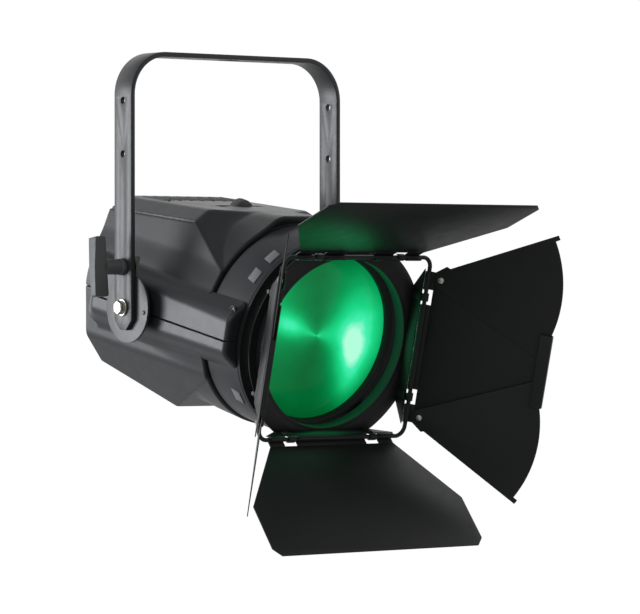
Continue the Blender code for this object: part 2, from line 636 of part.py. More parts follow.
def make_ring():
    """The rotating ring: a rear flange, a short tube and a square plate with a hooked tab on each side."""
    back, front = -FLANGE_BACK, SHEET - RING_PLATE
    flange = tube_profile(RING_HOLE_R + 0.0004, FLANGE_R, back, back + 0.0015)
    ring = finish("barndoor_ring", lathe(flange, 48), BLACK_STEEL, RING, BEAMWARD)
    tube = tube_profile(RING_HOLE_R, RING_HOLE_R + SHEET, back + 0.0002, front - 0.0002)
    weld(ring, "ring_tube", lathe(tube, 48), BEAMWARD)
    square = 2 * (WIRE_HALF - CURL_IN - 0.0001)
    plate = finish("ring_square", box((square, square, SHEET), (0, 0, front - SHEET / 2)), None, RING,
                   BEAMWARD, hidden=True)
    rim = finish("ring_disc", lathe(tube_profile(RING_HOLE_R + SHEET / 2, RING_OUTER_R, 0.17, 0.19), 64),
                 None, RING, BEAMWARD, hidden=True)
    combine(plate, rim, "INTERSECT")
    combine(ring, plate, "UNION")
    base = WIRE_Y - RING_PLATE + SHEET / 2
    edge = -CURL_OUT - 2 * GAP
    for label, frame in side_frames():
        tab = [(-0.0605, base), (0.0605, base), (0.0825, edge)]
        for side in (1, -1):
            wide, narrow = HOOK_X + HOOK_HALF - 0.0002, HOOK_X - HOOK_HALF + 0.0002
            tongue = [(wide, edge), (wide, -0.001), (narrow, -0.001), (narrow, edge)]
            tab += tongue if side > 0 else [(-x, y) for x, y in reversed(tongue)]
        tab += [(-0.0825, edge)]
        weld(ring, f"tab_{label}", prism(tab, -CURL_OUT, -CURL_IN), frame)
        hook = [(-0.0025, 0.0002 - CURL_OUT)]
        hook += arc((0, 0), CURL_OUT, math.radians(-90), math.radians(120), 10)
        hook += arc((0, 0), CURL_IN, math.radians(120), math.radians(-90), 10)
        hook += [(-0.0025, -CURL_IN - 0.0002)]
        for side in (-1, 1):
            weld(ring, f"hook_{label}_{side}", prism(hook, -HOOK_HALF, HOOK_HALF),
                 frame @ at(side * HOOK_X, 0, 0) @ ACROSS)


def make_wire():
    """One closed loop of round wire with rounded corners."""
    corner = WIRE_HALF - WIRE_CORNER
    path = []
    for i, (sign_x, sign_z) in enumerate(((1, 1), (-1, 1), (-1, -1), (1, -1))):
        centre = (sign_x * corner, sign_z * corner)
        path += arc(centre, WIRE_CORNER, math.pi / 2 * i, math.pi / 2 * (i + 1), 5)
    curve = bpy.data.curves.new("barndoor_wire", "CURVE")
    curve.dimensions = "3D"
    curve.bevel_depth = WIRE_R
    curve.bevel_resolution = 2
    spline = curve.splines.new("POLY")
    spline.points.add(len(path) - 1)
    for point, (x, z) in zip(spline.points, path):
        point.co = (x, WIRE_Y, z, 1)
    spline.use_cyclic_u = True
    curve.materials.append(BLACK_STEEL)
    wire = bpy.data.objects.new("barndoor_wire", curve)
    bpy.context.scene.collection.objects.link(wire)
    wire.parent = RING


def make_door(label, frame, outline):
    """A sheet whose knuckles curl round the wire. Z is the outer side of the sheet."""
    opened = TOP_DOOR_OPEN if label == "top" else DOOR_OPEN
    hinge = empty(f"{label}_door_axis", frame @ turn(opened, "X"), RING)
    door = finish(f"{label}_door", prism(outline, CURL_IN, CURL_OUT), BLACK_STEEL, hinge)
    knuckle = [(0.0075, CURL_OUT)] + arc((0, 0), CURL_OUT, math.radians(90), math.radians(320), 10)
    knuckle += arc((0, 0), CURL_IN, math.radians(320), math.radians(90), 10) + [(0.0075, CURL_IN)]
    slots = sorted((*HOOK_SLOTS, MIDDLE_SLOT)) if label == "top" else HOOK_SLOTS
    edges = [-HINGE_HALF] + [x for slot in slots for x in slot] + [HINGE_HALF]
    for i, (low, high) in enumerate(zip(edges[::2], edges[1::2])):
        weld(door, f"{label}_knuckle_{i}", prism(knuckle, low, high), ACROSS)
    return door, hinge


def leaf_outline():
    """A fan about the rivet: a round apex, two straight edges and the outer arc with a finger tip."""
    low, high = LEAF_SPREAD
    inset = math.asin(LEAF_APEX / LEAF_R)
    tip = LEAF_R + 0.005
    tip_inset = math.asin(LEAF_APEX / tip)
    rim = arc((0, 0), LEAF_R, low - inset, high + inset - 0.04, 14)
    finger = [(tip * math.cos(a), tip * math.sin(a)) for a in (high + inset - 0.04, high + tip_inset)]
    apex = arc((0, 0), LEAF_APEX, high + math.pi / 2, low + 1.5 * math.pi, 10)
    return rim + finger + apex


def make_fan_door(label, frame):
    """A side door: a tapered sheet with a hem that guards two fan leaves riveted to its inner face."""
    outline = [(-HINGE_HALF, 0.0065), (HINGE_HALF, 0.0065), (0.088, 0.017), (0.038, DOOR_REACH),
               (-0.038, DOOR_REACH), (-0.088, 0.017)]
    door, hinge = make_door(label, frame, outline)
    weld(door, f"{label}_hem_wall", box((0.076, SHEET, 0.0055), (0, DOOR_REACH - SHEET / 2, HEM_Z + 0.00275)))
    weld(door, f"{label}_hem_lip", box((0.076, 0.013, SHEET), (0, DOOR_REACH - 0.0065, HEM_Z + SHEET / 2)))
    # Local X points up on the right door and down on the left one.
    upward = 1 if label == "right" else -1
    for height, sign, top in (("upper", upward, LEAF_TOPS[0]), ("lower", -upward, LEAF_TOPS[1])):
        pivot = at(sign * LEAF_PIVOT[1], LEAF_PIVOT[0], 0)
        # The outline's X runs along the door and its Y towards the door's own end.
        lay = Matrix(((0, sign, 0, 0), (1, 0, 0, 0), (0, 0, -sign, 0), (0, 0, 0, 1)))
        cut(door, f"{label}_{height}_bore", lathe(rod_profile(RIVET_R + GAP, -0.01, 0.01), 16), pivot)
        axis = empty(f"{label}_{height}_leaf_axis", pivot, hinge)
        heights = sorted((-sign * top, -sign * (top - LEAF_THICK)))
        leaf = finish(f"{label}_{height}_leaf", prism(leaf_outline(), *heights), BLACK_STEEL, axis, lay)
        cut(leaf, f"{label}_{height}_eye", lathe(rod_profile(RIVET_R + GAP, -0.01, 0.01), 16), lay)
        low = top - LEAF_THICK - GAP
        rivet = [(0, low - 0.0011), (0.0035, low - 0.0011), (0.0035, low), (RIVET_R, low)]
        if top < LEAF_TOPS[0]:
            # The deeper leaf stands off the sheet on a shoulder.
            rivet += [(RIVET_R, top + GAP), (0.0032, top + GAP), (0.0032, CURL_IN - GAP),
                      (RIVET_R, CURL_IN - GAP)]
        rivet += [(RIVET_R, CURL_OUT + GAP), (0.0032, CURL_OUT + GAP), (0.0032, CURL_OUT + 0.0012),
                  (0, CURL_OUT + 0.0012)]
        finish(f"{label}_{height}_rivet", lathe(rivet, 14), BRIGHT_STEEL, hinge, pivot)


def make_barndoor():
    make_ring()
    make_wire()
    wide = [(-HINGE_HALF, 0.0065), (HINGE_HALF, 0.0065), (0.1355, 0.078), (0.136, 0.129),
            (0.127, DOOR_REACH), (-0.127, DOOR_REACH), (-0.136, 0.129), (-0.1355, 0.078)]
    for label, frame in side_frames():
        if label in ("top", "bottom"):
            make_door(label, frame, wide)
        else:
            make_fan_door(label, frame)


make_yoke()
for side_sign, side_label in ((-1, "left"), (1, "right")):
    make_tilt_side(side_sign, side_label)
make_tilt_lock()
make_housing()
make_rear()
make_lens_stack()
make_holder()
make_optics_train()
make_lamp_carriage()
make_electronics()
make_barndoor()
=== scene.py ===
"""The looks of a yoke-hung Fresnel spotlight with a barndoor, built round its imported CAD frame.

Metres, +Z up. Pieces of the head are modelled level in the beam's own frame (X along the tilt
axis, -Y along the beam, origin beside the pivot) and stood in the world by the matrix OPTIC,
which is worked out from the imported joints. Pieces of the yoke use the frame YOKE.
"""
import json
import math

import bmesh
import bpy
import numpy as np
from mathutils import Matrix, Vector


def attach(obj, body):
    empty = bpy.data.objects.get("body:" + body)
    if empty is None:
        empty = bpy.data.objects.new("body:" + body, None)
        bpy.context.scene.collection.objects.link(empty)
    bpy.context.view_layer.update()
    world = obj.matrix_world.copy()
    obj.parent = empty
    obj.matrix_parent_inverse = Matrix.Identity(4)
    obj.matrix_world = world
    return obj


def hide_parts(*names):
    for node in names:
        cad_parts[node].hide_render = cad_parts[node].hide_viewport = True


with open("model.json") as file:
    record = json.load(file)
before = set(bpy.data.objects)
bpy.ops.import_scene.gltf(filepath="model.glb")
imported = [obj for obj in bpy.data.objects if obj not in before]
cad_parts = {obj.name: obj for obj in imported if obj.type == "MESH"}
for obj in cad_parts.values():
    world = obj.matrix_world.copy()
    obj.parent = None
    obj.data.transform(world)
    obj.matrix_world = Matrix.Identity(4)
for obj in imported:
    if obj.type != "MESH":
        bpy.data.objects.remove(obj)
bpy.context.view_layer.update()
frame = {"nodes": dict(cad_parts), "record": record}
JOINTS = {joint["name"]: joint for joint in frame["record"]["behaviour"]["joints"]}

# --- frames ---
PIVOT = Vector(JOINTS["head_tilt"]["pos_m"])
BEAM = Vector(JOINTS["barndoor_turn"]["axis"])
ON_BEAM = Vector(JOINTS["barndoor_turn"]["pos_m"])
OPTIC_ORIGIN = ON_BEAM + BEAM * (PIVOT - ON_BEAM).dot(BEAM)
TILT = math.asin(-BEAM.z)
OPTIC_RISE = (OPTIC_ORIGIN - PIVOT).length
YOKE = Matrix.Translation(PIVOT)
OPTIC = Matrix.Translation(OPTIC_ORIGIN) @ Matrix.Rotation(TILT, 4, "X")
BEAMWARD = Matrix.Rotation(math.pi / 2, 4, "X")     # lays a turned piece along the beam
ACROSS = Matrix(((0, 0, 1, 0), (1, 0, 0, 0), (0, 1, 0, 0), (0, 0, 0, 1)))

# --- driving dimensions, as in the CAD ---
GAP = 0.0003                                        # seating gap between two pieces
YOKE_HALF, BAR_WIDTH, BAR_THICK, BEND_R, ARM_TAIL = 0.138, 0.030, 0.005, 0.045, 0.023
ARM_HOLE_HEIGHTS, ARM_HOLE_R, PIVOT_HOLE_R, CLAMP_SLOT = (0.1588, 0.2139), 0.0035, 0.0045, (0.028, 0.0125)
LOCK_HEIGHT, LOCK_HUB = 0.042, 0.0235
DISC_R, DISC_THICK, DISC_FACE = 0.0367, 0.003, 0.1327
WALL, SEAM_HALF = 0.0025, 0.00035
SHELL_REAR, BARREL_FRONT = 0.118, -0.100
RAIL_FRONT, RAIL_REAR, RAIL_HALF = -0.158, 0.095, 0.121
BARREL_R, SLEEVE_R = 0.109, 0.1063
ROOF_RISE, ROOF_AT_PIVOT = 0.133, 0.1085
BELLY_RISE, BELLY_AT_PIVOT = 0.168, -0.1108
HOOD_HALF = 0.0285
RAIL_ROUND, BARREL_ROUND, SEAM_ROUND = 0.006, 0.0022, 0.0012      # edge rounds of the housing
LENS_R, LENS_BACK, LENS_THICK = 0.088, -0.146, 0.005
HOLDER_BACK, HOLDER_FRONT = -0.1583, -0.1615
FLANGE_R, FLANGE_BACK = 0.0997, -0.1685
RING_HOLE_R, RING_PLATE, RING_OUTER_R, SHEET = 0.089, -0.1813, 0.1108, 0.0012
WIRE_Y, WIRE_HALF, WIRE_R, WIRE_CORNER = -0.1996, 0.095, 0.0022, 0.011
CURL_IN, CURL_OUT = 0.0025, 0.0037
HOOK_X, HOOK_HALF, HINGE_HALF = 0.053, 0.004, 0.080
HOOK_SLOTS, MIDDLE_SLOT = ((-0.061, -0.045), (0.045, 0.061)), (-0.019, 0.019)
DOOR_OPEN, TOP_DOOR_OPEN, DOOR_REACH = math.radians(38), math.radians(34.5), 0.138
LEAF_PIVOT, LEAF_R, LEAF_APEX, LEAF_THICK = (0.0135, 0.073), 0.1275, 0.0085, 0.001
LEAF_SPREAD = (math.radians(-24.8), math.radians(27.8))
LEAF_TOPS = (0.0021, 0.0007)
HEM_Z = -0.0019
ZOOM_Y, ZOOM_SLOT = 0.005, (0.060, 0.015)
LATCH_PIVOT = (-0.1650, 0.1075)
VENT_PITCH, VENT_Y, VENT = 0.0146, 0.0865, (0.0062, 0.044)
PAD_ANGLES, PAD_Y = (-39.5, 39.5, -54, 54, -127, 127), -0.1505
KEY_SPOTS = tuple((0.028 + 0.014 * (i % 2), 0.059 - 0.014 * (i // 2)) for i in range(4))
SOCKET_XS, SOCKET_Z = (-0.051, -0.017, 0.017, 0.051), -0.030
PANEL_LOW, PANEL_HIGH = 0.1115, 0.1145
DISPLAY_PLACE, DISPLAY_FRAME, DISPLAY_WINDOW = (0.018, 0.052, 0), (0.055, 0.030), (0.047, 0.022)


# --- shader helpers ---
class Look:
    """A material under construction: small helpers that add nodes and wire them up."""

    def __init__(self, name, colour, roughness, metallic=0.0, specular=0.5):
        self.material = bpy.data.materials.new(name)
        self.material.use_nodes = True
        self.tree = self.material.node_tree
        self.shader = self.tree.nodes["Principled BSDF"]
        self.shader.inputs["Base Color"].default_value = (*colour, 1)
        self.shader.inputs["Roughness"].default_value = roughness
        self.shader.inputs["Metallic"].default_value = metallic
        self.shader.inputs["Specular IOR Level"].default_value = specular
        self.place = self.node("ShaderNodeTexCoord").outputs["Object"]

    def node(self, kind, **values):
        made = self.tree.nodes.new(kind)
        for name, value in values.items():
            setattr(made, name, value)
        return made

    def link(self, start, end):
        self.tree.links.new(start, end)

    def noise(self, scale, detail=4.0, stretch=(1, 1, 1)):
        mapping = self.node("ShaderNodeMapping")
        mapping.inputs["Scale"].default_value = stretch
        self.link(self.place, mapping.inputs["Vector"])
        noise = self.node("ShaderNodeTexNoise")
        noise.inputs["Scale"].default_value = scale
        noise.inputs["Detail"].default_value = detail
        noise.inputs["Roughness"].default_value = 0.55
        self.link(mapping.outputs["Vector"], noise.inputs["Vector"])
        return noise.outputs["Fac"]

    def ramp(self, source, low, high, start=0.0, end=1.0):
        """Maps source from start..end to low..high."""
        made = self.node("ShaderNodeMapRange")
        for name, value in (("From Min", start), ("From Max", end), ("To Min", low), ("To Max", high)):
            made.inputs[name].default_value = value
        self.link(source, made.inputs["Value"])
        return made.outputs["Result"]

    def math(self, operation, first, second=None):
        made = self.node("ShaderNodeMath", operation=operation)
        for socket, value in zip(made.inputs, (first, second)):
            if isinstance(value, (int, float)):
                socket.default_value = value
            elif value is not None:
                self.link(value, socket)
        return made.outputs["Value"]

    def add(self, first, second):
        return self.math("ADD", first, second)

    def times(self, first, second):
        return self.math("MULTIPLY", first, second)

    def distance(self, x, y):
        return self.math("SQRT", self.add(self.times(x, x), self.times(y, y)))

    def blend(self, factor, first, second):
        made = self.node("ShaderNodeMix", data_type="RGBA")
        sockets = (made.inputs[0], made.inputs[6], made.inputs[7])
        for socket, value in zip(sockets, (factor, first, second)):
            if isinstance(value, tuple):
                socket.default_value = (*value, 1)
            else:
                self.link(value, socket)
        return made.outputs[2]

    def colour_between(self, source, first, second, start=0.0, end=1.0):
        self.link(self.blend(self.ramp(source, 0, 1, start, end), first, second),
                  self.shader.inputs["Base Color"])

    def roughness_between(self, source, low, high):
        self.link(self.ramp(source, low, high, 0.3, 0.7), self.shader.inputs["Roughness"])

    def bump(self, *layers):
        """Stacks bump layers of (height, strength, distance)."""
        normal = None
        for height, strength, distance in layers:
            made = self.node("ShaderNodeBump")
            made.inputs["Strength"].default_value = strength
            made.inputs["Distance"].default_value = distance
            self.link(height, made.inputs["Height"])
            if normal:
                self.link(normal, made.inputs["Normal"])
            normal = made.outputs["Normal"]
        self.link(normal, self.shader.inputs["Normal"])


def powder_coat(name, colour, roughness, specular, grain):
    """Painted metal: a fine orange-peel grain, faint cloudiness and a little dust in the roughness."""
    shade = 0.12
    look = Look(name, colour, roughness, specular=specular)
    cloud = look.noise(9, detail=3)
    lighter = tuple(channel * (1 + shade) for channel in colour)
    darker = tuple(channel * (1 - shade) for channel in colour)
    look.colour_between(cloud, darker, lighter, 0.3, 0.7)
    look.roughness_between(look.noise(90, detail=6), roughness - 0.03, roughness + 0.03)
    fine, coarse = look.noise(1500, detail=2), look.noise(420, detail=2)
    look.bump((fine, grain, 0.00012), (coarse, grain * 0.6, 0.0002))
    return look.material


def brushed_metal(name, colour, roughness):
    look = Look(name, colour, roughness, metallic=1.0)
    lines = look.noise(700, detail=3, stretch=(1, 1, 40))
    look.roughness_between(lines, roughness - 0.06, roughness + 0.10)
    look.colour_between(look.noise(40), tuple(c * 0.82 for c in colour), colour, 0.3, 0.7)
    look.bump((lines, 0.12, 0.0001))
    return look.material


def moulded_plastic(name, colour, roughness):
    look = Look(name, colour, roughness, specular=0.4)
    look.colour_between(look.noise(12), tuple(c * 0.85 for c in colour), colour, 0.3, 0.7)
    look.roughness_between(look.noise(60, detail=5), roughness - 0.05, roughness + 0.07)
    look.bump((look.noise(2400, detail=2), 0.22, 0.00012))
    return look.material


def circuit_board(name):
    look = Look(name, (0.015, 0.10, 0.045), 0.35)
    tracks = look.noise(260, detail=1, stretch=(1, 1, 6))
    look.colour_between(tracks, (0.010, 0.075, 0.035), (0.03, 0.16, 0.08), 0.48, 0.52)
    look.bump((tracks, 0.2, 0.0001))
    return look.material


def clear_glass(name):
    look = Look(name, (0.90, 0.94, 0.93), 0.06)
    look.roughness_between(look.noise(80), 0.04, 0.09)
    look.shader.inputs["Transmission Weight"].default_value = 0.9
    return look.material


def lens_glass():
    """Pressed glass lit green from behind, with painted highlights laid into its glow: soft wedges of
    painted highlight that meet at a painted bright hub, and a hot patch of painted softbox reflection.

    In the lens's own frame X runs across, Y up and Z along the beam.
    """
    look = Look("lens_glass", (0.0, 0.010, 0.004), 0.20, specular=0.12)
    split = look.node("ShaderNodeSeparateXYZ")
    look.link(look.place, split.inputs[0])
    x, y = split.outputs["X"], split.outputs["Y"]
    radius = look.distance(x, y)
    angle = look.math("ARCTAN2", y, x)

    def painted_highlight_wedge(heading, spread, power):
        """A wedge of painted highlight about a heading in degrees, measured from +X towards up."""
        cosine = look.math("COSINE", look.add(angle, -math.radians(heading)))
        fall = look.times(look.add(cosine, -1), 1 / spread)
        return look.times(look.math("EXPONENT", fall), power)

    def painted_highlight_spot(centre, width, height, lean, power):
        """A soft elliptical patch of painted highlight, leaning by some degrees."""
        dx, dy = look.add(x, -centre[0]), look.add(y, -centre[1])
        cosine, sine = math.cos(math.radians(lean)), math.sin(math.radians(lean))
        along = look.add(look.times(dx, cosine / width), look.times(dy, sine / width))
        cross = look.add(look.times(dy, cosine / height), look.times(dx, -sine / height))
        square = look.add(look.times(along, along), look.times(cross, cross))
        return look.times(look.math("EXPONENT", look.times(square, -1)), power)

    # The wedges and patches below are painted highlights and a painted reflection, added into the lens's
    # green glow.
    lights = [
        painted_highlight_wedge(162, 0.045, 0.20), painted_highlight_wedge(172, 0.50, 0.16),                # painted highlight wedges, narrow and wide, to the left
        painted_highlight_wedge(14, 0.34, 0.38), painted_highlight_wedge(-12, 0.12, 0.10),                  # painted highlight wedges to the right
        painted_highlight_spot((-0.036, 0.011), 0.026, 0.012, -16, 0.34),
        painted_highlight_spot((0.049, -0.029), 0.019, 0.042, 3, 0.44),                   # the hot patch, a painted softbox reflection
        painted_highlight_spot((0.054, 0.000), 0.034, 0.052, 4, 0.24),                    # the painted glow about it
        painted_highlight_spot((-0.045, 0.040), 0.030, 0.020, -40, 0.10),
    ]
    # A small painted highlight at the hub; the whole glow is then dimmed towards the rim.
    hub = look.math("EXPONENT", look.times(radius, -1 / 0.004))
    level = look.add(look.times(hub, 0.22), 0.12)
    for light in lights:
        level = look.add(level, light)
    rim = look.ramp(radius, 1.0, 0.72, 0.070, LENS_R)
    level = look.times(look.times(level, rim), look.ramp(look.noise(45), 0.94, 1.05, 0.3, 0.7))
    colours = look.node("ShaderNodeValToRGB")
    look.link(level, colours.inputs["Fac"])
    stops = ((0.0, (0.0, 0.02, 0.004)), (0.13, (0.0, 0.11, 0.022)), (0.40, (0.003, 0.36, 0.10)),
             (0.70, (0.012, 0.70, 0.25)), (0.87, (0.06, 0.87, 0.44)), (1.0, (0.45, 0.99, 0.72)))
    band = colours.color_ramp.elements
    band[0].color = (*stops[0][1], 1)
    band[-1].color = (*stops[-1][1], 1)
    for place, colour in stops[1:-1]:
        band.new(place).color = (*colour, 1)
    look.link(colours.outputs["Color"], look.shader.inputs["Emission Color"])
    look.shader.inputs["Emission Strength"].default_value = 1.0
    look.shader.inputs["Coat Weight"].default_value = 0.06
    look.shader.inputs["Coat Roughness"].default_value = 0.05
    look.bump((look.noise(900, detail=2), 0.05, 0.0001))
    return look.material


LOOKS = {
    "housing": powder_coat("satin_charcoal", (0.020, 0.0215, 0.0245), 0.38, 0.32, 0.20),
    "black_steel": powder_coat("matte_black", (0.0150, 0.0155, 0.0165), 0.46, 0.24, 0.18),
    "yoke_steel": powder_coat("satin_black_yoke", (0.024, 0.025, 0.027), 0.40, 0.42, 0.20),
    "bright_steel": brushed_metal("zinc_steel", (0.66, 0.64, 0.58), 0.27),
    "knob_plastic": moulded_plastic("grey_plastic", (0.085, 0.086, 0.089), 0.50),
    "sleeve_pad": moulded_plastic("grey_pad", (0.16, 0.165, 0.175), 0.55),
    "clear_glass": clear_glass("clear_glass"),
    "display_glass": moulded_plastic("dark_display", (0.004, 0.006, 0.009), 0.12),
    "socket_plastic": moulded_plastic("black_plastic", (0.012, 0.012, 0.013), 0.48),
    "lens_glass": lens_glass(),
    "bare_aluminium": brushed_metal("mill_aluminium", (0.60, 0.61, 0.62), 0.38),
    "circuit_board": circuit_board("solder_resist"),
}

# Looks that the record files under another slot's name, and the two panes that aren't lit green.
UNLIT_GLASS = {"display": "display_glass", "collimator_lens": "clear_glass"}


# --- mesh helpers ---
def at(x, y, z):
    return Matrix.Translation((x, y, z))


def turn(degrees, axis):
    return Matrix.Rotation(math.radians(degrees), 4, axis)


def arc(centre, radius, start, end, steps):
    """Points on an arc, with angles in degrees."""
    angles = [math.radians(start + (end - start) * i / steps) for i in range(steps + 1)]
    return [(centre[0] + radius * math.cos(a), centre[1] + radius * math.sin(a)) for a in angles]


def rounded(outline, radius, steps=3, closed=True):
    """The outline with each corner turned into a short arc."""
    points = [Vector(point) for point in outline]
    result = []
    for i, corner in enumerate(points):
        before, after = points[i - 1] - corner, points[(i + 1) % len(points)] - corner
        bend = math.pi - before.angle(after, math.pi)
        is_end = not closed and i in (0, len(points) - 1)
        if is_end or bend < math.radians(12):
            result.append(tuple(corner))
            continue
        reach = min(radius * math.tan(bend / 2), 0.45 * before.length, 0.45 * after.length)
        start, end = corner + before.normalized() * reach, corner + after.normalized() * reach
        for k in range(steps + 1):
            t = k / steps
            result.append(tuple(start.lerp(corner, t).lerp(corner.lerp(end, t), t)))
    return result


def prism(outline, low, high):
    bm = bmesh.new()
    face = bm.faces.new([bm.verts.new((x, y, low)) for x, y in outline])
    raised = bmesh.ops.extrude_face_region(bm, geom=[face])["geom"]
    tops = [item for item in raised if isinstance(item, bmesh.types.BMVert)]
    bmesh.ops.translate(bm, verts=tops, vec=(0, 0, high - low))
    return bm


def box(size, centre=(0, 0, 0)):
    bm = bmesh.new()
    bmesh.ops.create_cube(bm, size=1, matrix=at(*centre) @ Matrix.Diagonal((*size, 1)))
    return bm


def lathe(profile, segments=128):
    bm = bmesh.new()
    points = [bm.verts.new((radius, 0, z)) for radius, z in profile]
    edges = [bm.edges.new(pair) for pair in zip(points, points[1:])]
    if profile[0][0] > 0:
        edges.append(bm.edges.new((points[-1], points[0])))
    bmesh.ops.spin(bm, geom=points + edges, cent=(0, 0, 0), axis=(0, 0, 1),
                   angle=math.tau, steps=segments, use_merge=True)
    return bm


def turned(profile, radius, segments):
    """A turned piece with rounded corners; a profile that starts on the axis is left open there."""
    return lathe(rounded(profile, radius, closed=profile[0][0] > 0), segments)


def tube(inner, outer, low, high):
    return [(inner, low), (outer, low), (outer, high), (inner, high)]


def rod(radius, low, high):
    return [(0, low), (radius, low), (radius, high), (0, high)]


def rectangle(width, depth):
    x, y = width / 2, depth / 2
    return [(-x, -y), (x, -y), (x, y), (-x, y)]


def moved(bm, matrix):
    bmesh.ops.transform(bm, matrix=matrix, verts=bm.verts)
    return bm


def mesh_of(name, bm):
    """Turns the working mesh into a mesh block and frees it."""
    mesh = bpy.data.meshes.new(name)
    bm.to_mesh(mesh)
    bm.free()
    return mesh


def placed(name, data, matrix):
    """A new object in the scene."""
    made = bpy.data.objects.new(name, data)
    bpy.context.scene.collection.objects.link(made)
    made.matrix_world = matrix
    return made


def joined(*parts):
    """One mesh of several loose shells."""
    whole = bmesh.new()
    for part in parts:
        mesh = mesh_of("part", part)
        whole.from_mesh(mesh)
        bpy.data.meshes.remove(mesh)
    return whole


def piece(name, bm, body, slot, matrix, replaces=None, bevel=0.0, bevel_steps=2, sharp=32, cuts=()):
    """A finished piece: normals, cuts, bevel, material, body, slot and the CAD node that it stands for."""
    bmesh.ops.remove_doubles(bm, verts=bm.verts, dist=1e-6)
    bmesh.ops.recalc_face_normals(bm, faces=bm.faces)
    made = placed(name, mesh_of(name, bm), matrix)
    made.data.materials.append(LOOKS[slot])
    for i, cutter in enumerate(cuts):
        cut(made, f"{name}_cutter_{i}", cutter)
    if bevel:
        modifier = made.modifiers.new("soft_edges", "BEVEL")
        modifier.width = bevel
        modifier.segments = bevel_steps
        modifier.limit_method = "ANGLE"
        modifier.angle_limit = math.radians(28)
        modifier.use_clamp_overlap = True
    settle(made)
    made.data.shade_smooth()
    made.data.set_sharp_from_angle(angle=math.radians(sharp))
    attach(made, body)
    if replaces:
        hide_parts(replaces)
    return made


def cut(target, name, bm):
    """Takes a solid, drawn in the target's own frame, away from the target."""
    bmesh.ops.recalc_face_normals(bm, faces=bm.faces)
    cutter = placed(name, mesh_of(name, bm), target.matrix_world)
    modifier = target.modifiers.new(name, "BOOLEAN")
    modifier.operation = "DIFFERENCE"
    modifier.object = cutter
    settle(target)
    bpy.data.objects.remove(cutter, do_unlink=True)


def settle(made):
    """Applies every modifier."""
    bpy.context.view_layer.update()
    evaluated = made.evaluated_get(bpy.context.evaluated_depsgraph_get())
    mesh = bpy.data.meshes.new_from_object(evaluated)
    made.modifiers.clear()
    made.data = mesh


# --- the housing's skin ---
def smooth_min(first, second, blend):
    share = np.clip(0.5 + 0.5 * (second - first) / blend, 0, 1)
    return second + (first - second) * share - blend * share * (1 - share)


def smooth_max(first, second, blend):
    return -smooth_min(-first, -second, blend)


def roof_height(y):
    return ROOF_AT_PIVOT - ROOF_RISE * y


def split_height(y):
    return -0.0027 - 0.0425 * y


# Faces of the rear body as a*|x| + b*y + c*z <= d in the head's frame, each with its soft edge.
ROOF = (0, ROOF_RISE, 1, ROOF_AT_PIVOT, 0.003)
BELLY = (0, BELLY_RISE, -1, -BELLY_AT_PIVOT, 0.004)
BODY_FACES = (
    ROOF,
    (13, 22 * ROOF_RISE, 22, 22 * ROOF_AT_PIVOT + 13 * 0.062, 0.003),      # shoulder
    (1, 0.0227, 0.2436, 0.1081, 0.0018),                                   # upper side facet
    (1, 0, -0.167, 0.1042, 0.004),                                         # flank below the rail
    (1, -0.0361, -0.845, 0.1398, 0.003),                                   # lower side facet
    BELLY,
    (0.886, -1, 2.18, 0.3227, 0.0016),                                     # upper front cut
    (0.0303, -1, -1.788, 0.1931, 0.0016),                                  # lower front cut
)
HOOD_FACES = (
    ROOF,
    (0.75, ROOF_RISE, 1, ROOF_AT_PIVOT + 0.75 * HOOD_HALF, 0.006),
    (0, 0, -1, 0.05, 0.003),
    (1, 0, 0, 0.07, 0.003),
)


def reach(faces, angle, y):
    """Distance from the beam axis to the faces' common solid, with softened edges."""
    sine, cosine = np.abs(np.sin(angle)), np.cos(angle)
    far = 0.5
    nearest = np.full_like(angle, far)
    for a, b, c, d, soft in faces:
        slope = a * sine + c * cosine
        room = (d - b * y - c * OPTIC_RISE) / np.maximum(slope, 1e-6)
        nearest = smooth_min(nearest, np.where(slope > 1e-6, np.minimum(room, far), far), soft)
    return np.maximum(nearest, 0)


def edge_round(distance, radius):
    """How far a rounded edge drops at some distance from it."""
    left = radius - np.clip(distance, 0, radius)
    return radius - np.sqrt(np.maximum(0, radius ** 2 - left ** 2))


def rail_reach(angle, y):
    """The same for the side rails, which narrow at the rear and are rounded at the front."""
    inset = edge_round(y - RAIL_FRONT, RAIL_ROUND)
    half = RAIL_HALF - 0.6 * np.maximum(0, y - (RAIL_REAR - 0.015)) - inset
    slope = 0.78 - 0.45 * np.clip((y + 0.16) / 0.25, 0, 1)
    faces = (
        (1, 0, 0, half, 0.004),
        (slope, 0, 1, 0.029 + slope * RAIL_HALF - inset, 0.010),
        (0.78, -0.0557, -1, 0.0192 + 0.78 * RAIL_HALF - inset, 0.008),
        (0, 0, 1, 0.090, 0.002),
        (0, 0, -1, 0.080, 0.002),
    )
    return np.where((y >= RAIL_FRONT - 1e-6) & (y <= RAIL_REAR + 1e-6), reach(faces, angle, y), 0)


def housing_radius(angle, y):
    """Outer radius of the housing about the beam axis; angle 0 is up."""
    barrel = BARREL_R - 0.035 * np.maximum(0.0, y + 0.060)
    radius = smooth_max(barrel + 0 * angle, reach(BODY_FACES, angle, y), 0.0025)
    # The barrel is planed off level with the roof and the belly.
    radius = smooth_min(radius, reach((ROOF, BELLY), angle, y), 0.003)
    hood = np.where(y < 0.012, reach(HOOD_FACES, angle, y), 0)
    radius = smooth_max(radius, hood, 0.0025) - edge_groove(angle, y)
    radius = radius - edge_round(y - BARREL_FRONT, BARREL_ROUND)
    return smooth_max(radius, rail_reach(angle, y), 0.003)


def edge_groove(angle, y):
    """The shadow line where the roof moulding overlaps the upper side facet."""
    height = roof_height(y) - 0.0135 - OPTIC_RISE
    line = np.arctan2(0.0848, height)
    across = (np.abs(angle) - line) * 0.115
    return 0.0016 * np.exp(-(across / 0.0009) ** 2) * (y > -0.028)


def ring_row(angles, radius, y):
    """Points round the beam axis at one station."""
    return np.stack([radius * np.sin(angles), np.full_like(radius, y), radius * np.cos(angles)], 1)


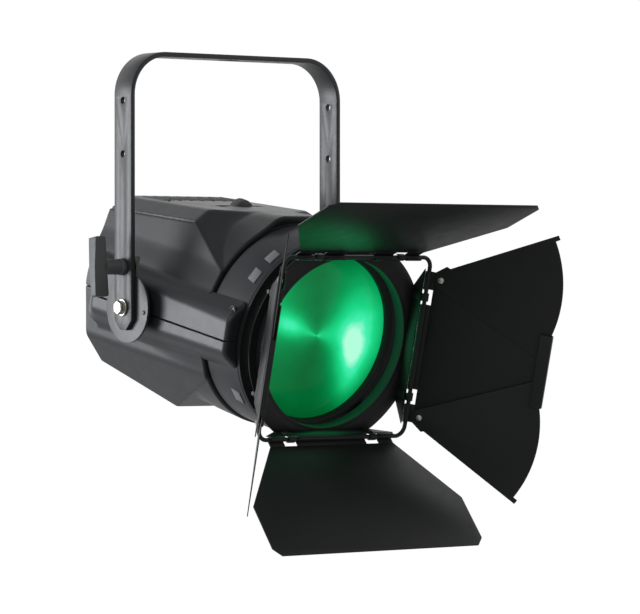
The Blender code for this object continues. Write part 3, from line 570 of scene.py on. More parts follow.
def ribbon_solid(outer, inner):
    """A closed shell between two grids of points, which share their layout."""
    bm = bmesh.new()
    grids = [[[bm.verts.new(point) for point in row] for row in rows] for rows in (outer, inner)]
    for grid in grids:
        for row, following in zip(grid, grid[1:]):
            for i in range(len(row) - 1):
                bm.faces.new((row[i], row[i + 1], following[i + 1], following[i]))
    top, under = grids
    for row, mate in ((top[0], under[0]), (top[-1], under[-1])):
        for i in range(len(row) - 1):
            bm.faces.new((row[i], row[i + 1], mate[i + 1], mate[i]))
    for i in range(len(top) - 1):
        for end in (0, -1):
            bm.faces.new((top[i][end], top[i + 1][end], under[i + 1][end], under[i][end]))
    return bm


def split_angle(y, side):
    """Angle of the seam between the two halves, a little to one side of it."""
    return math.atan2(RAIL_HALF, split_height(y) + side * SEAM_HALF - OPTIC_RISE)


def shell_rows(upper, stations, radius_at, steps):
    """Grids whose edges follow the seam, with the skin rolled in at the seam."""
    rows = []
    for y in stations:
        if upper:
            limit = split_angle(y, 1)
            angles = np.linspace(-limit, limit, steps)
        else:
            limit = split_angle(y, -1)
            angles = np.linspace(limit, math.tau - limit, steps)
        folded = np.where(angles > math.pi, angles - math.tau, angles)
        radius = radius_at(folded, np.full(steps, y))
        from_seam = np.abs(np.abs(folded) - limit) * radius
        rows.append(ring_row(angles, radius - edge_round(from_seam, SEAM_ROUND), y))
    return rows


def close_steps(start, end, step):
    count = max(2, round(abs(end - start) / step) + 1)
    return list(np.linspace(start, end, count))


BODY_STATIONS = (close_steps(SHELL_REAR, RAIL_REAR + 0.0004, 0.004) + [RAIL_REAR]
                 + close_steps(RAIL_REAR - 0.0012, 0.0125, 0.0036) + close_steps(0.0118, -0.094, 0.0022)
                 + close_steps(-0.0955, BARREL_FRONT + 0.0002, 0.0007) + [BARREL_FRONT])


def make_shell(name, upper):
    """Half of the housing with its rails, and for the upper half its zoom slot and vents."""
    steps = 560 if upper else 440
    outer = shell_rows(upper, BODY_STATIONS, housing_radius, steps)
    inner = shell_rows(upper, BODY_STATIONS, lambda angle, y: housing_radius(angle, y) - WALL, steps)
    cuts = []
    if upper:
        roof = roof_height(ZOOM_Y) - OPTIC_RISE
        slot = rounded(rectangle(*ZOOM_SLOT), 0.003)
        cuts.append(moved(prism(slot, roof - 0.012, roof + 0.012), at(0, ZOOM_Y, 0)))
        vent = rounded(rectangle(*VENT), 0.003)
        for i in range(7):
            cuts.append(moved(prism(vent, roof - 0.03, roof + 0.01), at((i - 3) * VENT_PITCH, VENT_Y, 0)))
    piece(name, ribbon_solid(outer, inner), "head", "housing", OPTIC, name, cuts=cuts, sharp=38)


def make_rail_fronts():
    """The parts of both rails that reach past the barrel, on either side of the sleeve."""
    stations = close_steps(BARREL_FRONT, -0.150, 0.006) + close_steps(-0.1515, RAIL_FRONT, 0.0007)
    inner_radius = SLEEVE_R + 0.0008
    for half, label in ((1, "upper"), (-1, "lower")):
        for side, hand in ((-1, "left"), (1, "right")):
            outer, inner = [], []
            for y in stations:
                seam = split_angle(y, half)
                search = np.linspace(seam, 0.55 if half > 0 else 2.75, 400)
                reach_there = rail_reach(search, np.full_like(search, y))
                past = np.nonzero(reach_there < inner_radius + 0.0006)[0]
                edge = search[past[0]] if len(past) else search[-1]
                angles = np.linspace(seam, edge, 60)
                radius = rail_reach(angles, np.full_like(angles, y))
                radius = radius - edge_round(np.abs(angles - seam) * radius, SEAM_ROUND)
                radius = np.maximum(radius, inner_radius + GAP)
                outer.append(ring_row(side * angles, radius, y))
                inner.append(ring_row(side * angles, np.full_like(radius, inner_radius), y))
            piece(f"{label}_rail_front_{hand}", ribbon_solid(outer, inner), "head", "housing", OPTIC,
                  sharp=38)


def make_hood_wall():
    """The wall that closes the front of the hood above the sleeve's neck."""
    angles = np.linspace(-0.62, 0.62, 120)
    outer, inner = [], []
    for y in (-0.0934, -0.0950):
        radius = housing_radius(angles, np.full_like(angles, y)) - WALL - 0.0002
        outer.append(ring_row(angles, radius, y))
        inner.append(ring_row(angles, np.full_like(angles, 0.1034), y))
    piece("hood_wall", ribbon_solid(outer, inner), "head", "housing", OPTIC, sharp=38)


# --- yoke and tilt hardware ---
def make_yoke():
    """The bent bar, with its side holes, pivot and lock holes, clamp slot and chamfered ends."""
    def path(half, top, radius):
        return [(half, -ARM_TAIL)] + arc((half - radius, top - radius), radius, 0, 90, 28)

    drop = -PIVOT.z
    outer = path(YOKE_HALF, drop, BEND_R)
    inner = path(YOKE_HALF - BAR_THICK, drop - BAR_THICK, BEND_R - BAR_THICK)
    outline = outer + [(-x, z) for x, z in reversed(outer)]
    outline += [(-x, z) for x, z in inner] + list(reversed(inner))
    bar = moved(prism(outline, -BAR_WIDTH / 2, BAR_WIDTH / 2), BEAMWARD)
    through = turn(90, "Y")
    cuts = []
    for height in ARM_HOLE_HEIGHTS:
        cuts.append(moved(lathe(rod(ARM_HOLE_R, -0.2, 0.2), 40), at(0, 0, height) @ through))
    cuts.append(moved(lathe(rod(PIVOT_HOLE_R, -0.2, 0.2), 40), through))
    cuts.append(moved(lathe(rod(PIVOT_HOLE_R, -0.2, -0.05), 40), at(0, 0, LOCK_HEIGHT) @ through))
    end_r = CLAMP_SLOT[1] / 2
    end_x = CLAMP_SLOT[0] / 2 - end_r
    slot = arc((end_x, 0), end_r, -90, 90, 16) + arc((-end_x, 0), end_r, 90, 270, 16)
    cuts.append(prism(slot, drop - 0.01, drop + 0.01))
    for side in (-1, 1):
        corner = at(0, side * BAR_WIDTH / 2, -ARM_TAIL) @ turn(45, "X")
        cuts.append(moved(box((0.4, 0.0141, 0.0141)), corner))
    piece("yoke_bar", bar, "yoke", "yoke_steel", YOKE, "yoke_bracket", bevel=0.0006, cuts=cuts)


def hexagon(across_flats):
    return arc((0, 0), across_flats / math.sqrt(3), 0, 300, 5)


def bolt_head(across_flats, height):
    """A hexagon head with its corners turned off on top."""
    def heading(vertex):
        return math.atan2(vertex.co.y, vertex.co.x)

    middle = height / 2
    bm = prism(hexagon(across_flats), 0, height * 0.78)
    top = [face for face in bm.faces if min(v.co.z for v in face.verts) > middle]
    bmesh.ops.delete(bm, geom=top, context="FACES_ONLY")
    ring = sorted((v for v in bm.verts if v.co.z > middle), key=heading)
    cap = sorted((bm.verts.new((x, y, height)) for x, y in hexagon(across_flats * 0.90)), key=heading)
    for i in range(6):
        bm.faces.new((ring[i], ring[(i + 1) % 6], cap[(i + 1) % 6], cap[i]))
    bm.faces.new(cap)
    return bm


def make_tilt_sides():
    """On each side a tilt plate with its screw, a washer and a pivot bolt."""
    for side, label in ((-1, "left"), (1, "right")):
        outward = OPTIC @ at(0, 0, -OPTIC_RISE) @ turn(90 * side, "Y")
        back = RAIL_HALF + GAP
        disc_back = DISC_FACE - DISC_THICK
        profile = [(0, back), (0.020, back), (0.020, disc_back - 0.0012), (0.0215, disc_back),
                   (DISC_R, disc_back), (DISC_R, DISC_FACE), (0.0043, DISC_FACE), (0.0043, back + 0.0015),
                   (0, back + 0.0015)]
        piece(f"tilt_plate_{label}", turned(profile, 0.0006, 96), "head", "yoke_steel", outward,
              f"tilt_disc_{label}")
        low = YOKE_HALF + GAP
        washer = turned(tube(PIVOT_HOLE_R, 0.0085, low, low + 0.0018), 0.0004, 64)
        piece(f"plain_washer_{label}", washer, "head", "bright_steel", outward, f"pivot_washer_{label}")
        seat = low + 0.0021
        shank = lathe(rod(0.004, back + 0.002, seat + 0.001), 32)
        collar = lathe(tube(PIVOT_HOLE_R, 0.0060, -0.0002, 0.0004), 48)
        head_part = moved(joined(bolt_head(0.013, 0.0053), collar), at(0, 0, seat) @ turn(17, "Z"))
        piece(f"hex_bolt_{label}", joined(shank, head_part), "head", "bright_steel", outward,
              f"pivot_bolt_{label}", bevel=0.0003)
        screw = [(0, 0), (0.0022, 0), (0.0022, 0.0009), (0.0014, 0.0014), (0, 0.0014)]
        place = outward @ turn(-86, "Z") @ at(0.0300, 0, DISC_FACE - 0.0002)
        piece(f"disc_screw_{label}", turned(screw, 0.0003, 32), "head", "yoke_steel", place)


def make_tilt_lock():
    """The clamp knob: a round hub and a tapered wing."""
    outward = YOKE @ at(0, 0, LOCK_HEIGHT) @ turn(-90, "Y")
    low = YOKE_HALF + GAP
    hub = [(0, low - 0.012), (0.004, low - 0.012), (0.004, low), (0.0087, low), (0.0087, low + 0.004),
           (0.0080, low + 0.0046), (0.0080, low + LOCK_HUB), (0, low + LOCK_HUB)]
    hub = turned(hub, 0.0006, 64)
    wing = [(-0.031, 0.1612), (0.031, 0.1612), (0.031, 0.1735), (0, 0.1768), (-0.031, 0.1780)]
    stand = Matrix(((0, -1, 0, 0), (0, 0, -1, 0), (1, 0, 0, 0), (0, 0, 0, 1)))
    lean = turn(-8, "X")
    body = prism(rounded(wing, 0.0022, 4), -0.0064, 0.0064)
    # The wing is thinner at its lower end.
    for v in body.verts:
        v.co.z *= 0.797 + 0.203 * v.co.x / 0.031
    wing_piece = moved(body, outward.inverted() @ YOKE @ at(0, 0, LOCK_HEIGHT) @ lean @ stand)
    piece("wing_knob", joined(hub, wing_piece), "tilt_knob", "knob_plastic", outward, "tilt_lock_knob",
          bevel=0.0009, bevel_steps=3)


# --- front of the head ---
def make_sleeve():
    """The sleeve round the lens: a sunk neck that the hood overlaps, and flat pads on its rim."""
    profile = [(0.0985, 0.0940), (0.1030, 0.0940), (0.1030, 0.0955), (0.1061, 0.0955), (0.1061, 0.0975),
               (0.1030, 0.0975), (0.1030, 0.1034), (SLEEVE_R, 0.1052),
               (SLEEVE_R - 0.0007, 0.1574), (SLEEVE_R - 0.0013, 0.1580), (0.0985, 0.1580)]
    pads = []
    pad = [(-0.0084, 0), (0.0060, 0), (0.0084, 0.0125), (-0.0060, 0.0125)]
    for heading in PAD_ANGLES:
        shape = pad if heading < 0 else [(-x, y) for x, y in pad]
        block = moved(prism(shape, SLEEVE_R - 0.0020, SLEEVE_R + 0.0004), at(0, PAD_Y, 0))
        pads.append(moved(block, turn(heading, "Y")))
    piece("lens_sleeve", moved(turned(profile, 0.0008, 192), BEAMWARD), "head", "housing", OPTIC,
          "front_sleeve", bevel=0.0003)
    piece("sleeve_pads", joined(*pads), "head", "sleeve_pad", OPTIC, bevel=0.0003)


def make_lens_stack():
    """The stepped lens with the glow that it throws forward, its seat and the retaining ring."""
    front = -LENS_BACK + LENS_THICK
    profile = [(0, -LENS_BACK), (LENS_R, -LENS_BACK), (LENS_R, front - 0.0012)]
    steps, rim = 34, 0.003
    width = (LENS_R - rim) / steps
    for i in range(steps):
        outer = LENS_R - rim - width * i
        tilt = 0.00045 * (1 - i / steps) + 0.00010
        profile += [(outer, front - tilt), (max(outer - width * 0.93, 0.0002), front)]
    along_beam = OPTIC @ BEAMWARD
    lens = piece("fresnel_lens", lathe(profile + [(0, front)], 160), "head", "lens_glass", along_beam,
                 "lens", sharp=12)
    glow = bpy.data.lights.new("lens_glow", "AREA")
    glow.shape = "DISK"
    glow.size = 0.160
    glow.energy = 0.045
    glow.color = (0.01, 1.0, 0.26)
    beam = bpy.data.objects.new("lens_glow", glow)
    bpy.context.scene.collection.objects.link(beam)
    beam.visible_camera = False
    beam.parent = lens
    beam.matrix_parent_inverse = lens.matrix_world.inverted()
    beam.matrix_world = OPTIC @ at(0, -0.1612, 0) @ turn(-90, "X")
    seat = -LENS_BACK - GAP
    cell = [(0.0850, 0.1410), (0.0978, 0.1410), (0.0978, 0.1512), (LENS_R + GAP, 0.1512),
            (LENS_R + GAP, seat), (0.0850, seat)]
    piece("lens_seat", turned(cell, 0.0004, 128), "head", "black_steel", along_beam, "lens_cell")
    ring = [(0.0868, front + GAP), (0.0970, 0.1515), (0.0970, 0.1600), (0.0905, 0.1600),
            (0.0897, 0.1585), (0.0880, 0.1578), (0.0868, 0.1562)]
    piece("retaining_ring", turned(ring, 0.0005, 160), "head", "black_steel", along_beam, "lens_ring")


def make_holder():
    """The accessory holder: a ring, two lugs with a groove for the barndoor, and the top latch."""
    ring = turned(tube(0.0974, 0.1055, -HOLDER_BACK, -HOLDER_FRONT), 0.0007, 160)
    parts = [moved(ring, BEAMWARD)]
    inner, outer, lip, root = 0.1020, 0.1045, 0.0945, HOLDER_FRONT + 0.001
    lug = [(root, outer), (FLANGE_BACK - 0.0034, outer), (FLANGE_BACK - 0.0034, lip),
           (FLANGE_BACK - 0.0018, lip), (FLANGE_BACK - 0.0018, inner), (FLANGE_BACK + GAP, inner),
           (FLANGE_BACK + GAP, lip), (FLANGE_BACK + 0.0019, lip), (FLANGE_BACK + 0.0019, inner),
           (root, inner)]
    for heading in (-140, 140):
        parts.append(moved(prism(rounded(lug, 0.0004), -0.011, 0.011), turn(heading, "Y") @ ACROSS))
    y, height = LATCH_PIVOT
    for side in (-1, 1):
        ear = rounded([(root, height - 0.0055), (y - 0.0034, height - 0.0040),
                       (y - 0.0034, height + 0.0025), (root, height + 0.0025)], 0.0015, 4)
        parts.append(moved(prism(ear, side * 0.0145 - 0.001, side * 0.0145 + 0.001), ACROSS))
    piece("frame_holder", joined(*parts), "head", "black_steel", OPTIC, "accessory_holder", bevel=0.0003)
    hook = [(0.003, 0.0015), (-0.0069, 0.0015), (-0.0069, -0.0105), (-0.0053, -0.0105),
            (-0.0053, -0.0022), (-0.0015, -0.0022), (0.003, -0.0010)]
    latch = moved(prism(rounded(hook, 0.0012, 4), -0.013, 0.013), ACROSS)
    pin = moved(lathe(rod(0.0015, -0.0160, 0.0160), 24), turn(90, "Y"))
    piece("top_latch", joined(latch, pin), "latch", "black_steel", OPTIC @ at(0, y, height),
          "accessory_latch", bevel=0.0003)


# --- barndoor ---
def side_frames():
    """The wire's four sides: X along the wire, Y along the beam, Z away from the beam axis."""
    for label, heading in (("top", 0), ("right", 90), ("bottom", 180), ("left", -90)):
        yield label, OPTIC @ turn(heading, "Y") @ at(0, WIRE_Y, WIRE_HALF) @ turn(180, "Z")


def curl(start, end, tail):
    """Section of a strip rolled round the wire, from one angle to another, with a straight tail."""
    return ([(tail, CURL_OUT)] + arc((0, 0), CURL_OUT, start, end, 20)
            + arc((0, 0), CURL_IN, end, start, 20) + [(tail, CURL_IN)])


def make_ring():
    """The turning ring: flange, tube, square plate, and on each side a bent tab with two hooks."""
    back, front = -FLANGE_BACK, SHEET - RING_PLATE
    # The flange, tube and inner edge of the plate in one turned section.
    section = [(RING_HOLE_R, back), (FLANGE_R, back), (FLANGE_R, back + 0.0015),
               (RING_HOLE_R + SHEET, back + 0.0015), (RING_HOLE_R + SHEET, front - SHEET),
               (RING_HOLE_R + 0.004, front - SHEET), (RING_HOLE_R + 0.004, front), (RING_HOLE_R, front)]
    flange = moved(turned(section, 0.0004, 160), BEAMWARD)
    half = WIRE_HALF - CURL_IN - 0.0001
    plate = []
    for degrees in range(0, 360, 2):
        across, up = math.cos(math.radians(degrees)), math.sin(math.radians(degrees))
        radius = min(RING_OUTER_R, half / max(abs(across), abs(up)))
        plate.append((radius * across, radius * up))
    plate = plate_with_hole(plate, RING_HOLE_R + 0.0035, front - SHEET, front)
    parts = [flange, moved(plate, BEAMWARD)]
    base, edge = WIRE_Y - RING_PLATE + SHEET / 2, -CURL_OUT + 0.0009
    for _, side in side_frames():
        to_side = OPTIC.inverted() @ side
        tab = [(-0.0605, base), (0.0605, base), (0.0825, edge)]
        wide, narrow = HOOK_X + HOOK_HALF - 0.0002, HOOK_X - HOOK_HALF + 0.0002
        tongue = [(wide, edge), (wide, -0.001), (narrow, -0.001), (narrow, edge)]
        tab += tongue + [(-x, y) for x, y in reversed(tongue)] + [(-0.0825, edge)]
        parts.append(moved(prism(tab, -CURL_OUT, -CURL_IN), to_side))
        hook = [(x, -y) for x, y in curl(90, -120, -0.0025)]
        for x in (-HOOK_X, HOOK_X):
            parts.append(moved(prism(hook, -HOOK_HALF, HOOK_HALF), to_side @ at(x, 0, 0) @ ACROSS))
            # The hook's strip lies under the tab and is held by a round-headed screw.
            strip = [(-0.0042, edge), (0.0042, edge), (0.0034, base - 0.0030), (-0.0034, base - 0.0030)]
            strip = prism(rounded(strip, 0.0015), -CURL_OUT - 0.0011, -CURL_OUT + 0.0002)
            head = lathe(rounded([(0, -CURL_OUT - 0.0024), (0.0017, -CURL_OUT - 0.0024),
                                  (0.0026, -CURL_OUT - 0.0010), (0, -CURL_OUT - 0.0010)], 0.0004), 24)
            parts.append(moved(strip, to_side @ at(x, 0, 0)))
            parts.append(moved(head, to_side @ at(x, base - 0.0075, 0)))
    piece("rotating_ring", joined(*parts), "barndoor", "black_steel", OPTIC, "barndoor_ring",
          bevel=0.0002)


def plate_with_hole(outline, radius, low, high):
    """A flat plate between an outline and a round hole, built as one band of faces."""
    bm = bmesh.new()
    rings = []
    for height in (low, high):
        outer = [bm.verts.new((x, y, height)) for x, y in outline]
        inner = []
        for x, y in outline:
            reach_out = radius / math.hypot(x, y)
            inner.append(bm.verts.new((x * reach_out, y * reach_out, height)))
        rings.append((outer, inner))
    count = len(outline)
    for i in range(count):
        k = (i + 1) % count
        for outer, inner in rings:
            bm.faces.new((outer[i], outer[k], inner[k], inner[i]))
        bm.faces.new((rings[0][0][i], rings[0][0][k], rings[1][0][k], rings[1][0][i]))
        bm.faces.new((rings[0][1][i], rings[0][1][k], rings[1][1][k], rings[1][1][i]))
    return bm


def make_wire():
    """The square of round wire that the doors hinge on."""
    corner = WIRE_HALF - WIRE_CORNER
    curve = bpy.data.curves.new("door_wire", "CURVE")
    curve.dimensions = "3D"
    curve.bevel_depth = WIRE_R
    curve.bevel_resolution = 6
    points = []
    for i, (sign_x, sign_z) in enumerate(((1, 1), (-1, 1), (-1, -1), (1, -1))):
        points += arc((sign_x * corner, sign_z * corner), WIRE_CORNER, 90 * i, 90 * (i + 1), 14)
    spline = curve.splines.new("POLY")
    spline.points.add(len(points) - 1)
    for point, (x, z) in zip(spline.points, points):
        point.co = (x, WIRE_Y, z, 1)
    spline.use_cyclic_u = True
    curve.materials.append(LOOKS["black_steel"])
    wire = placed("door_wire", curve, OPTIC)
    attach(wire, "barndoor")
    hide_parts("barndoor_wire")


def knuckled_sheet(outline, slots=HOOK_SLOTS):
    """A door's sheet with its knuckles rolled round the wire, and gaps between them."""
    parts = [prism(rounded(outline, 0.0016), CURL_IN, CURL_OUT)]
    edges = [-HINGE_HALF] + [x for slot in slots for x in slot] + [HINGE_HALF]
    for low, high in zip(edges[::2], edges[1::2]):
        parts.append(moved(prism(curl(90, 320, 0.0075), low, high), ACROSS))
    return parts


def leaf_outline():
    """A fan about its rivet, with a finger tip at one end of its rim."""
    low, high = (math.degrees(angle) for angle in LEAF_SPREAD)
    inset = math.degrees(math.asin(LEAF_APEX / LEAF_R))
    tip = LEAF_R + 0.005
    tip_inset = math.degrees(math.asin(LEAF_APEX / tip))
    rim = arc((0, 0), LEAF_R, low - inset, high + inset - 2.3, 40)
    finger = arc((0, 0), tip, high + inset - 2.3, high + tip_inset, 2)
    return rim + finger + arc((0, 0), LEAF_APEX, high + 90, low + 270, 20)


def make_doors():
    """Two wide plain doors, and two tapered ones with a hem that guards their leaves."""
    wide = [(-HINGE_HALF, 0.0065), (HINGE_HALF, 0.0065), (0.1355, 0.078), (0.136, 0.129),
            (0.127, DOOR_REACH), (-0.127, DOOR_REACH), (-0.136, 0.129), (-0.1355, 0.078)]
    fan = [(-HINGE_HALF, 0.0065), (HINGE_HALF, 0.0065), (0.088, 0.017), (0.038, DOOR_REACH),
           (-0.038, DOOR_REACH), (-0.088, 0.017)]
    for label, side in side_frames():
        stand = side @ Matrix.Rotation(TOP_DOOR_OPEN if label == "top" else DOOR_OPEN, 4, "X")
        if label in ("top", "bottom"):
            slots = sorted((*HOOK_SLOTS, MIDDLE_SLOT)) if label == "top" else HOOK_SLOTS
            piece(f"{label}_sheet", joined(*knuckled_sheet(wide, slots)), f"{label}_flap", "black_steel",
                  stand, f"{label}_door", bevel=0.0003)
            continue
        parts = knuckled_sheet(fan)
        lip, seat = DOOR_REACH - 0.013, CURL_IN + 0.0001
        hem = [(lip, HEM_Z), (DOOR_REACH, HEM_Z), (DOOR_REACH, seat), (DOOR_REACH - SHEET, seat),
               (DOOR_REACH - SHEET, HEM_Z + SHEET), (lip, HEM_Z + SHEET)]
        parts.append(moved(prism(rounded(hem, 0.0008), -0.038, 0.038), ACROSS))
        piece(f"{label}_sheet", joined(*parts), f"{label}_flap", "black_steel", stand, f"{label}_door",
              bevel=0.0003)
        make_leaves(label, stand)


def make_leaves(label, stand):
    """A door's two leaves and their rivets; the door's X points up on the right and down on the left."""
    upward = 1 if label == "right" else -1
    for height, sign, top in (("upper", upward, LEAF_TOPS[0]), ("lower", -upward, LEAF_TOPS[1])):
        pivot = stand @ at(sign * LEAF_PIVOT[1], LEAF_PIVOT[0], 0)
        lay = Matrix(((0, sign, 0, 0), (1, 0, 0, 0), (0, 0, -sign, 0), (0, 0, 0, 1)))
        low, high = sorted((-sign * top, -sign * (top - LEAF_THICK)))
        piece(f"{label}_{height}_blade", prism(leaf_outline(), low, high), f"{label}_{height}_fan",
              "black_steel", pivot @ lay, f"{label}_{height}_leaf", bevel=0.0003)
        base, tail = top - LEAF_THICK - GAP, CURL_OUT + GAP
        rivet = lathe([(0, base - 0.0016), (0.0016, base - 0.0014), (0.0030, base - 0.0009), (0.0035, base),
                       (0.002, base), (0.002, tail), (0.0032, tail), (0.0028, CURL_OUT + 0.0011),
                       (0, CURL_OUT + 0.0014)], 40)
        if top < LEAF_TOPS[0]:
            # The deeper leaf stands off the sheet on a shoulder.
            shoulder = turned(tube(0.002, 0.0032, top + GAP, CURL_IN - GAP), 0.0001, 40)
            rivet = joined(rivet, shoulder)
        piece(f"{label}_{height}_rivet_head", rivet, f"{label}_flap", "bright_steel", pivot,
              f"{label}_{height}_rivet")


# --- roof, rail and rear details ---
def make_roof_details():
    """Raised ribs between the vents, and the ribbed arch of the zoom knob in its slot."""
    roof = roof_height(VENT_Y) - OPTIC_RISE
    lay = Matrix.Rotation(-math.atan(ROOF_RISE), 4, "X") @ turn(90, "X")
    rib = rounded([(-0.0012, -0.0020), (0.0012, -0.0020), (0.0012, 0.0007), (-0.0012, 0.0007)], 0.0006)
    ribs = []
    for i in range(8):
        place = at((i - 3.5) * VENT_PITCH, VENT_Y, roof) @ lay
        ribs.append(moved(prism(rib, -0.0240, 0.0240), place))
    piece("roof_ribs", joined(*ribs), "head", "housing", OPTIC, bevel=0.0002)
    centre, arch_r = roof_height(ZOOM_Y) - OPTIC_RISE - 0.0045, 0.0118
    parts = [prism(rounded(arc((0, centre), arch_r, 2, 178, 40), 0.001), -0.0056, 0.0056)]
    for heading in range(30, 151, 12):
        place = at(0, centre, 0) @ turn(heading - 90, "Z") @ at(0, arch_r, 0)
        parts.append(moved(lathe(rod(0.0006, -0.0050, 0.0050), 12), place))
    stand = OPTIC @ at(0, ZOOM_Y, 0) @ turn(90, "X")
    piece("zoom_arch", joined(*parts), "zoom_ring", "knob_plastic", stand, "zoom_knob", bevel=0.0007)


def make_rail_screws():
    """A sunk socket screw near the front of each rail's top."""
    for side, label in ((-1, "left"), (1, "right")):
        angle = math.atan2(0.1120, 0.0350 - OPTIC_RISE)
        seat = float(rail_reach(np.array([angle]), np.array([PAD_Y]))[0])
        place = OPTIC @ at(0, PAD_Y, 0) @ turn(side * math.degrees(angle), "Y") @ at(0, 0, seat)
        place = place @ turn(side * 12, "Y")
        rim = [(0.0022, -0.0030), (0.0046, -0.0030), (0.0046, 0.0003), (0.0036, 0.0003),
               (0.0036, -0.0010), (0.0022, -0.0010)]
        socket = [(0, -0.0030), (0.0024, -0.0030), (0.0024, -0.0004), (0.0012, -0.0004),
                  (0.0012, -0.0020), (0, -0.0020)]
        piece(f"rail_screw_seat_{label}", turned(rim, 0.0002, 40), "head", "black_steel", place)
        piece(f"rail_screw_{label}", lathe(socket, 32), "head", "yoke_steel", place)


def make_keys(back):
    for i, (x, z) in enumerate(KEY_SPOTS):
        cap = [(0, PANEL_LOW - 0.004), (0.0055, PANEL_LOW - 0.004), (0.0055, PANEL_LOW - 0.0025),
               (0.004, PANEL_LOW - 0.0025), (0.004, PANEL_HIGH + 0.0018), (0.0030, PANEL_HIGH + 0.0028),
               (0, PANEL_HIGH + 0.0030)]
        piece(f"key_cap_{i + 1}", turned(cap, 0.0006, 48), f"key_{i + 1}", "knob_plastic",
              back @ at(-x, z, 0), f"menu_key_{i + 1}")


def make_sockets(back):
    """Power in and out with three pins, data in and out with five, each held by two screws."""
    rim, low = PANEL_HIGH + 0.0025, PANEL_LOW - 0.0140
    shell = [(0, low - 0.004), (0.0115, low - 0.004), (0.0115, PANEL_HIGH + GAP),
             (0.014, PANEL_HIGH + GAP), (0.014, rim), (0.009, rim), (0.009, low), (0, low)]
    screw = [(0, rim - 0.0002), (0.0011, rim - 0.0002), (0.0011, rim + 0.0007), (0, rim + 0.0007)]
    sockets = (("power_inlet", 3, 0.0012), ("power_outlet", 3, 0.0012), ("data_in", 5, 0.0008),
               ("data_out", 5, 0.0008))
    for (name, pins, pin_r), x in zip(sockets, SOCKET_XS):
        place = back @ at(-x, SOCKET_Z, 0)
        parts = [turned(shell, 0.0005, 72)]
        for pin in range(pins):
            spread = turn(360 * pin / pins + 90, "Z") @ at(0.0048, 0, low - 0.001)
            parts.append(moved(lathe(rod(pin_r, 0, 0.0110), 16), spread))
        parts.append(moved(box((0.0030, 0.0022, 0.0120)), at(0, 0.0088, rim - 0.0065)))
        piece(f"{name}_socket", joined(*parts), "head", "socket_plastic", place, name, bevel=0.0002)
        screws = [moved(turned(screw, 0.0003, 20), at(side * 0.0082, -side * 0.0082, 0))
                  for side in (-1, 1)]
        piece(f"{name}_screws", joined(*screws), "head", "bright_steel", place)


def make_bezel(back):
    outline = rounded(rectangle(*DISPLAY_FRAME), 0.003)
    window = box((*DISPLAY_WINDOW, 0.01), (0, 0, PANEL_HIGH))
    piece("display_bezel", prism(outline, PANEL_HIGH, PANEL_HIGH + 0.0012), "head", "socket_plastic",
          back @ at(*DISPLAY_PLACE), bevel=0.0004, cuts=[window])


def make_rear():
    """What is on the rear panel, drawn with Z pointing out of it."""
    back = OPTIC @ turn(-90, "X") @ turn(180, "Z")
    make_keys(back)
    make_sockets(back)
    make_bezel(back)


# --- the other CAD nodes ---
def dress_frame():
    """Each CAD node that stays takes the finish of its record slot."""
    slots = {part["node"]: part["material_slot"] for part in frame["record"]["subparts"]}
    for name, node in frame["nodes"].items():
        node.data.materials.clear()
        node.data.materials.append(LOOKS[UNLIT_GLASS.get(name, slots[name])])


# --- studio ---
def make_studio():
    """A bowl of white paper that glows more behind the lamp and where the bowl turns up."""
    profile = arc((4.6, -0.2), 0.9, -90, 0, 16)
    bm = bmesh.new()
    points = [bm.verts.new((0, 0, -1.1))] + [bm.verts.new((x, 0, z)) for x, z in profile]
    points.append(bm.verts.new((5.5, 0, 5.5)))
    edges = [bm.edges.new(pair) for pair in zip(points, points[1:])]
    bmesh.ops.spin(bm, geom=points + edges, cent=(0, 0, 0), axis=(0, 0, 1), angle=math.tau, steps=96,
                   use_merge=True)
    bmesh.ops.recalc_face_normals(bm, faces=bm.faces)
    floor = placed("studio_floor", mesh_of("studio_floor", bm), Matrix())
    floor.data.shade_smooth()
    paper = Look("studio_paper", (0.05, 0.05, 0.05), 0.9, specular=0.0)
    split = paper.node("ShaderNodeSeparateXYZ")
    paper.link(paper.place, split.inputs[0])
    x, y = split.outputs["X"], split.outputs["Y"]
    behind = paper.ramp(paper.add(paper.times(x, 0.62), paper.times(y, 0.78)), 0.42, 0.97, -2.4, 1.4)
    away = paper.ramp(paper.distance(x, y), 0.52, 1.0, 3.0, 4.75)
    glow = paper.times(behind, away)
    paper.link(glow, paper.shader.inputs["Emission Strength"])
    paper.shader.inputs["Emission Color"].default_value = (1, 1, 1, 1)
    floor.data.materials.append(paper.material)


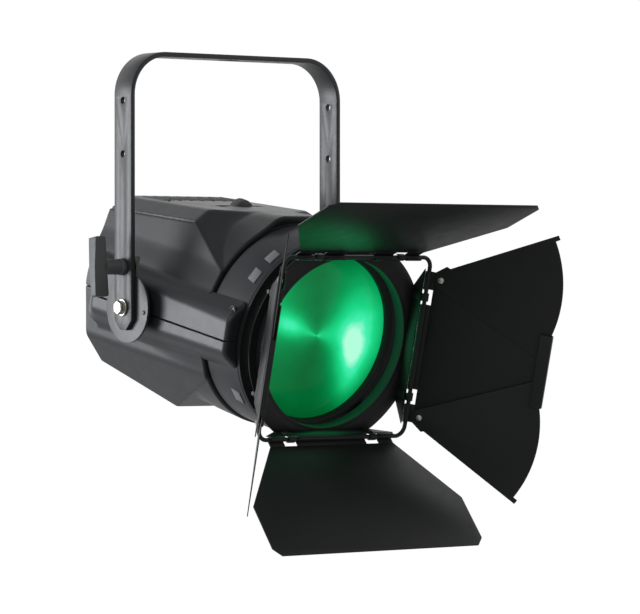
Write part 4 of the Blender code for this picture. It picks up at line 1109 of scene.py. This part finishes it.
def softbox(name, place, aim, size, power, colour=(1, 1, 1)):
    light = bpy.data.lights.new(name, "AREA")
    light.shape = "RECTANGLE"
    light.size, light.size_y = size
    light.energy = power
    light.color = colour
    made = bpy.data.objects.new(name, light)
    bpy.context.scene.collection.objects.link(made)
    made.location = place
    made.rotation_euler = (Vector(aim) - Vector(place)).to_track_quat("-Z", "Y").to_euler()


def make_lights():
    """A large cool softbox beside the lamp, and weaker ones in front, above and to the right."""
    cool = (0.93, 0.965, 1.0)
    world = bpy.data.worlds.new("studio")
    bpy.context.scene.world = world
    world.use_nodes = True
    background = world.node_tree.nodes["Background"]
    background.inputs["Color"].default_value = (*cool, 1)
    background.inputs["Strength"].default_value = 0.22
    softbox("side", (-2.3, 2.0, -0.45), (0, -0.05, -0.3), (1.7, 2.1), 108, cool)
    softbox("key", (-2.6, -1.3, 1.7), (0, -0.05, -0.3), (1.2, 1.2), 16)
    softbox("top", (0.3, 0.8, 2.4), (0, 0, -0.2), (1.5, 1.5), 3)
    softbox("fill", (1.9, 0.3, 2.1), (0.1, -0.3, -0.4), (1.4, 1.4), 12)


def make_camera():
    """A long lens, level with the middle of the lamp and to one side of its beam."""
    heading, pitch = math.radians(-38.4), math.radians(-0.4)
    forward = Vector((-math.sin(heading) * math.cos(pitch), math.cos(heading) * math.cos(pitch),
                      math.sin(pitch)))
    camera = bpy.data.cameras.new("camera")
    camera.sensor_width = 36
    camera.lens = 218.25
    camera.clip_end = 50
    made = bpy.data.objects.new("camera", camera)
    bpy.context.scene.collection.objects.link(made)
    made.location = (-2.4686, -3.2686, -0.2365)
    made.rotation_euler = forward.to_track_quat("-Z", "Y").to_euler()
    bpy.context.scene.camera = made
    bpy.context.scene.view_settings.view_transform = "Standard"


make_camera()
make_studio()
make_lights()
dress_frame()
make_yoke()
make_tilt_sides()
make_tilt_lock()
make_shell("upper_shell", True)
make_shell("lower_shell", False)
make_rail_fronts()
make_hood_wall()
make_sleeve()
make_lens_stack()
make_holder()
make_ring()
make_wire()
make_doors()
make_roof_details()
make_rail_screws()
make_rear()
